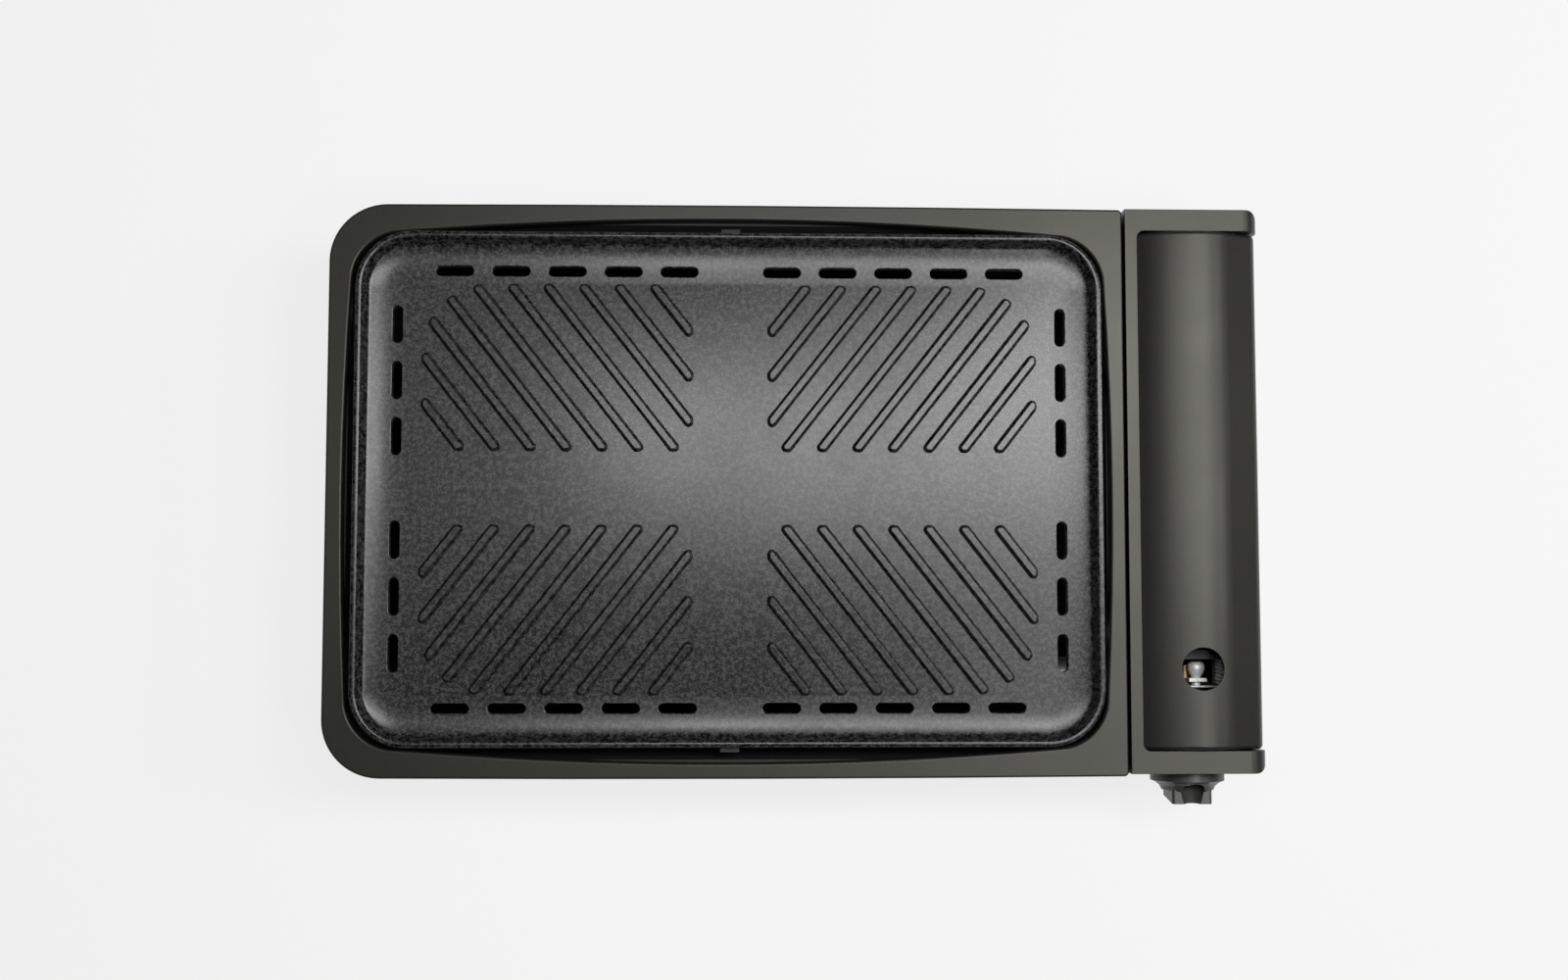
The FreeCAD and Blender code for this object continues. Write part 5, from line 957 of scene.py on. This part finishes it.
@dataclass
class CoilSpring:
    """Coil of round wire in the place of the plain sleeve. Sizes in millimetres.

    Attributes:
        wire: radius of the wire.
        coils: turns of the coil.
        steps: steps in one turn.
        sides: points round the wire.
        sharp_from: angle in degrees from which an edge stays sharp.
    """

    wire: float = 0.4
    coils: float = 6.5
    steps: int = 22
    sides: int = 10
    sharp_from: float = 60.0

    def build(self, metal: bpy.types.Material) -> bpy.types.Object:
        """Build and dress the spring.

        Args:
            metal: the wire's finish.

        Returns:
            The spring.
        """
        low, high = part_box("return_spring")
        middle = (low + high) / 2
        radius = (high.x - low.x) / 2 - self.wire * MM
        total = int(self.coils * self.steps)
        loops = []
        for index in range(total + 1):
            share = index / total
            angle = 2 * math.pi * self.coils * share
            out = Vector((math.cos(angle), 0.0, math.sin(angle)))
            y = low.y + self.wire * MM + (high.y - low.y - 2 * self.wire * MM) * share
            centre = Vector((middle.x, y, middle.z)) + out * radius
            loop = []
            for side in range(self.sides):
                turn = 2 * math.pi * side / self.sides
                way = out * math.cos(turn) + Vector((0, 1, 0)) * math.sin(turn)
                loop.append(centre + way * self.wire * MM)
            loops.append(np.array(loop))
        spring = mesh_object("return_spring_coil", *stacked(loops))
        smooth(spring, self.sharp_from)
        spring.data.materials.append(metal)
        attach(spring, "base")
        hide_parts("return_spring")
        return spring


@dataclass(frozen=True)
class Lamp:
    """A rectangular lamp that faces straight down.

    Attributes:
        name: the lamp's name.
        place: its middle, in metres.
        size: its length along X and Y, in metres.
        power: its power, in watts.
    """

    name: str
    place: Point
    size: Pair
    power: float

    def hang(self) -> None:
        """Put the lamp in the scene."""
        data = bpy.data.lights.new(self.name, "AREA")
        data.shape = "RECTANGLE"
        data.size, data.size_y = self.size
        data.energy = self.power
        lamp = bpy.data.objects.new(self.name, data)
        lamp.location = self.place
        bpy.context.scene.collection.objects.link(lamp)


LAMPS = (
    Lamp("main_softbox", (0.8, 0.27, 1.6), (0.9, 0.35), 13.0),
    Lamp("far_softbox", (1.9, 0.25, 1.6), (0.4, 0.5), 12.0),
    Lamp("near_panel", (0.6, -0.4, 1.6), (0.3, 0.25), 4.2),
    Lamp("overhead_panel", (0.05, 0.22, 1.6), (0.6, 0.25), 5.6),
    Lamp("left_panel", (-0.55, 0.15, 1.6), (0.3, 0.4), 0.5),
)


@dataclass
class Studio:
    """Camera, floor, lamps and sky. Lengths in metres, camera places in millimetres.

    Attributes:
        photo_width: width of the photograph, in pixels.
        focal_px: focal length, in pixels of the photograph.
        sensor_mm: width of the sensor.
        eye: the camera's place from the middle of the slots' plane.
        tilt: turns about X, Y and Z from straight down, in degrees.
        slot_plane: depth of the slots' plane below the plate's rim.
        view_from: nearest distance that the camera sees.
        view_to: farthest distance that the camera sees.
        paper: brightness of the floor as the camera sees it.
        shadow_depth: how much of the real floor shows through that, with its shadows.
        floor_reach: half the floor's length.
        floor_grey: the real floor's colour.
        floor_roughness: the real floor's roughness.
        floor_gloss: the real floor's gloss.
        sky: colour of the sky.
        sky_strength: brightness of the sky.
    """

    photo_width: float = 1600.0
    focal_px: float = 1854.115
    sensor_mm: float = 36.0
    eye: Point = (-3.439, -71.086, 967.021)
    tilt: Point = (4.1614, -1.9066, 0.0108)
    slot_plane: float = 7.8
    view_from: float = 0.05
    view_to: float = 20.0
    paper: float = 0.97
    shadow_depth: float = 0.18
    floor_reach: float = 6.0
    floor_grey: float = 0.8
    floor_roughness: float = 0.9
    floor_gloss: float = 0.1
    sky: Colour = (0.9, 0.95, 1.0)
    sky_strength: float = 0.05

    def camera(self) -> None:
        """Place the camera where the photograph was taken from."""
        low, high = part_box("grill_plate")
        middle = (low + high) / 2
        origin = Vector((middle.x, middle.y, high.z - self.slot_plane * MM))
        data = bpy.data.cameras.new("photo_camera")
        data.sensor_width = self.sensor_mm
        data.lens = self.focal_px / self.photo_width * self.sensor_mm
        data.clip_start = self.view_from
        data.clip_end = self.view_to
        camera = bpy.data.objects.new("photo_camera", data)
        turn = Euler([math.radians(angle) for angle in self.tilt]).to_matrix().to_4x4()
        camera.matrix_world = Matrix.Translation(origin + Vector(self.eye) * MM) @ turn
        bpy.context.scene.collection.objects.link(camera)
        bpy.context.scene.camera = camera

    def floor(self) -> None:
        """Lay a pale floor that looks white to the camera."""
        reach = self.floor_reach
        corners = [(-reach, -reach, 0), (reach, -reach, 0), (reach, reach, 0), (-reach, reach, 0)]
        floor = mesh_object("floor", corners, [(0, 1, 2, 3)])
        material = bpy.data.materials.new("pale_floor")
        material.use_nodes = True
        tree = material.node_tree
        shader = Shader(tree)
        principled = tree.nodes["Principled BSDF"]
        principled.inputs["Base Color"].default_value = (*grey(self.floor_grey), 1)
        principled.inputs["Roughness"].default_value = self.floor_roughness
        principled.inputs["Specular IOR Level"].default_value = self.floor_gloss
        paper = shader.add("Emission", Color=grey(self.paper), Strength=1.0)
        rays = shader.add("LightPath")
        seen = shader.maths(Operation.MAXIMUM, rays.outputs["Is Camera Ray"],
                            rays.outputs["Is Glossy Ray"])
        share = shader.maths(Operation.MULTIPLY, seen, 1.0 - self.shadow_depth)
        mix = shader.add("MixShader", Fac=share)
        shader.feed(mix.inputs[1], principled.outputs[0])
        shader.feed(mix.inputs[2], paper.outputs[0])
        shader.feed(tree.nodes["Material Output"].inputs["Surface"], mix.outputs[0])
        floor.data.materials.append(material)

    def world(self) -> None:
        """Set a dim even sky."""
        world = bpy.data.worlds.new("studio")
        world.use_nodes = True
        background = world.node_tree.nodes["Background"]
        background.inputs["Color"].default_value = (*self.sky, 1)
        background.inputs["Strength"].default_value = self.sky_strength
        bpy.context.scene.world = world

    def build(self) -> None:
        """Set up the camera, floor, world and lamps."""
        self.camera()
        self.floor()
        self.world()
        for lamp in LAMPS:
            lamp.hang()
        bpy.context.scene.view_settings.view_transform = "Standard"


FINISHES = {
    "casing_coat": Finish("casing_enamel", grey(0.015, 0.05), 0.37, grain=6, grain_scale=1500, speckle=0.12,
                          edge=0.3, edge_colour=grey(0.12), gloss_tint=(1.0, 0.995, 0.89)),
    "plate_coat": Finish("plate_granite_coat", grey(0.033), 0.26, grain=10, grain_scale=1050, speckle=1.0,
                         edge=0.0, edge_radius=0.2),
    "pan_coat": Finish("pan_enamel", grey(0.02), 0.4, grain=8, grain_scale=1500),
    # Near-black matt coat, darker than the casing's, so the parts in this slot that sit in the gap round the
    # plate vanish into its shade: painted shade.
    "dark_steel": Finish("gap_shade_black", grey(0.008), 0.55, grain=15),
    "zinc_steel": Finish("zinc_sheet", (0.5, 0.5, 0.48), 0.38, metallic=1.0, lines=6, speckle=0.15,
                         edge_colour=(0.6, 0.6, 0.6)),
    "bright_steel": Finish("satin_nickel", (0.88, 0.88, 0.86), 0.45, metallic=0.35, grain=2,
                           edge_colour=(0.85, 0.85, 0.84)),
    "brass": Finish("turned_brass", (0.5, 0.36, 0.16), 0.4, metallic=1.0, grain=3,
                    edge_colour=(0.6, 0.45, 0.2)),
    "black_plastic": Finish("black_moulding", (0.042, 0.042, 0.038), 0.36, grain=8, grain_scale=1300,
                            edge=0.4, edge_colour=grey(0.11)),
    "ceramic": Finish("white_ceramic", (0.75, 0.72, 0.66), 0.5, edge_colour=(0.6, 0.58, 0.52)),
    "rubber": Finish("foot_rubber", grey(0.012), 0.75, grain=30, edge=0.1),
    "aluminised": Finish("aluminised_sheet", (0.55, 0.55, 0.55), 0.42, metallic=1.0, lines=5, speckle=0.2,
                         edge_colour=(0.6, 0.6, 0.6)),
}


def dress_nodes(materials: dict[str, bpy.types.Material]) -> None:
    """Give every CAD node the material of its slot.

    Args:
        materials: the finished materials by slot.
    """
    for entry in frame["record"]["subparts"]:
        thing = frame["nodes"][entry["node"]]
        thing.data.materials.clear()
        thing.data.materials.append(materials[entry["material_slot"]])


def main() -> None:
    """Build the studio and every piece, and report each one."""
    logging.basicConfig(level=logging.INFO, format="%(name)s: %(message)s")
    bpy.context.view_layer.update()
    Studio().build()
    effects = Effects()
    materials = {slot: finish.make(effects) for slot, finish in FINISHES.items()}
    dress_nodes(materials)
    for piece in GrillPlate().build(materials["plate_coat"]):
        log.info("%s: %d faces", piece.name, len(piece.data.polygons))
    spring = CoilSpring().build(materials["bright_steel"])
    log.info("%s: %d faces", spring.name, len(spring.data.polygons))


if __name__ == "__main__":
    main()
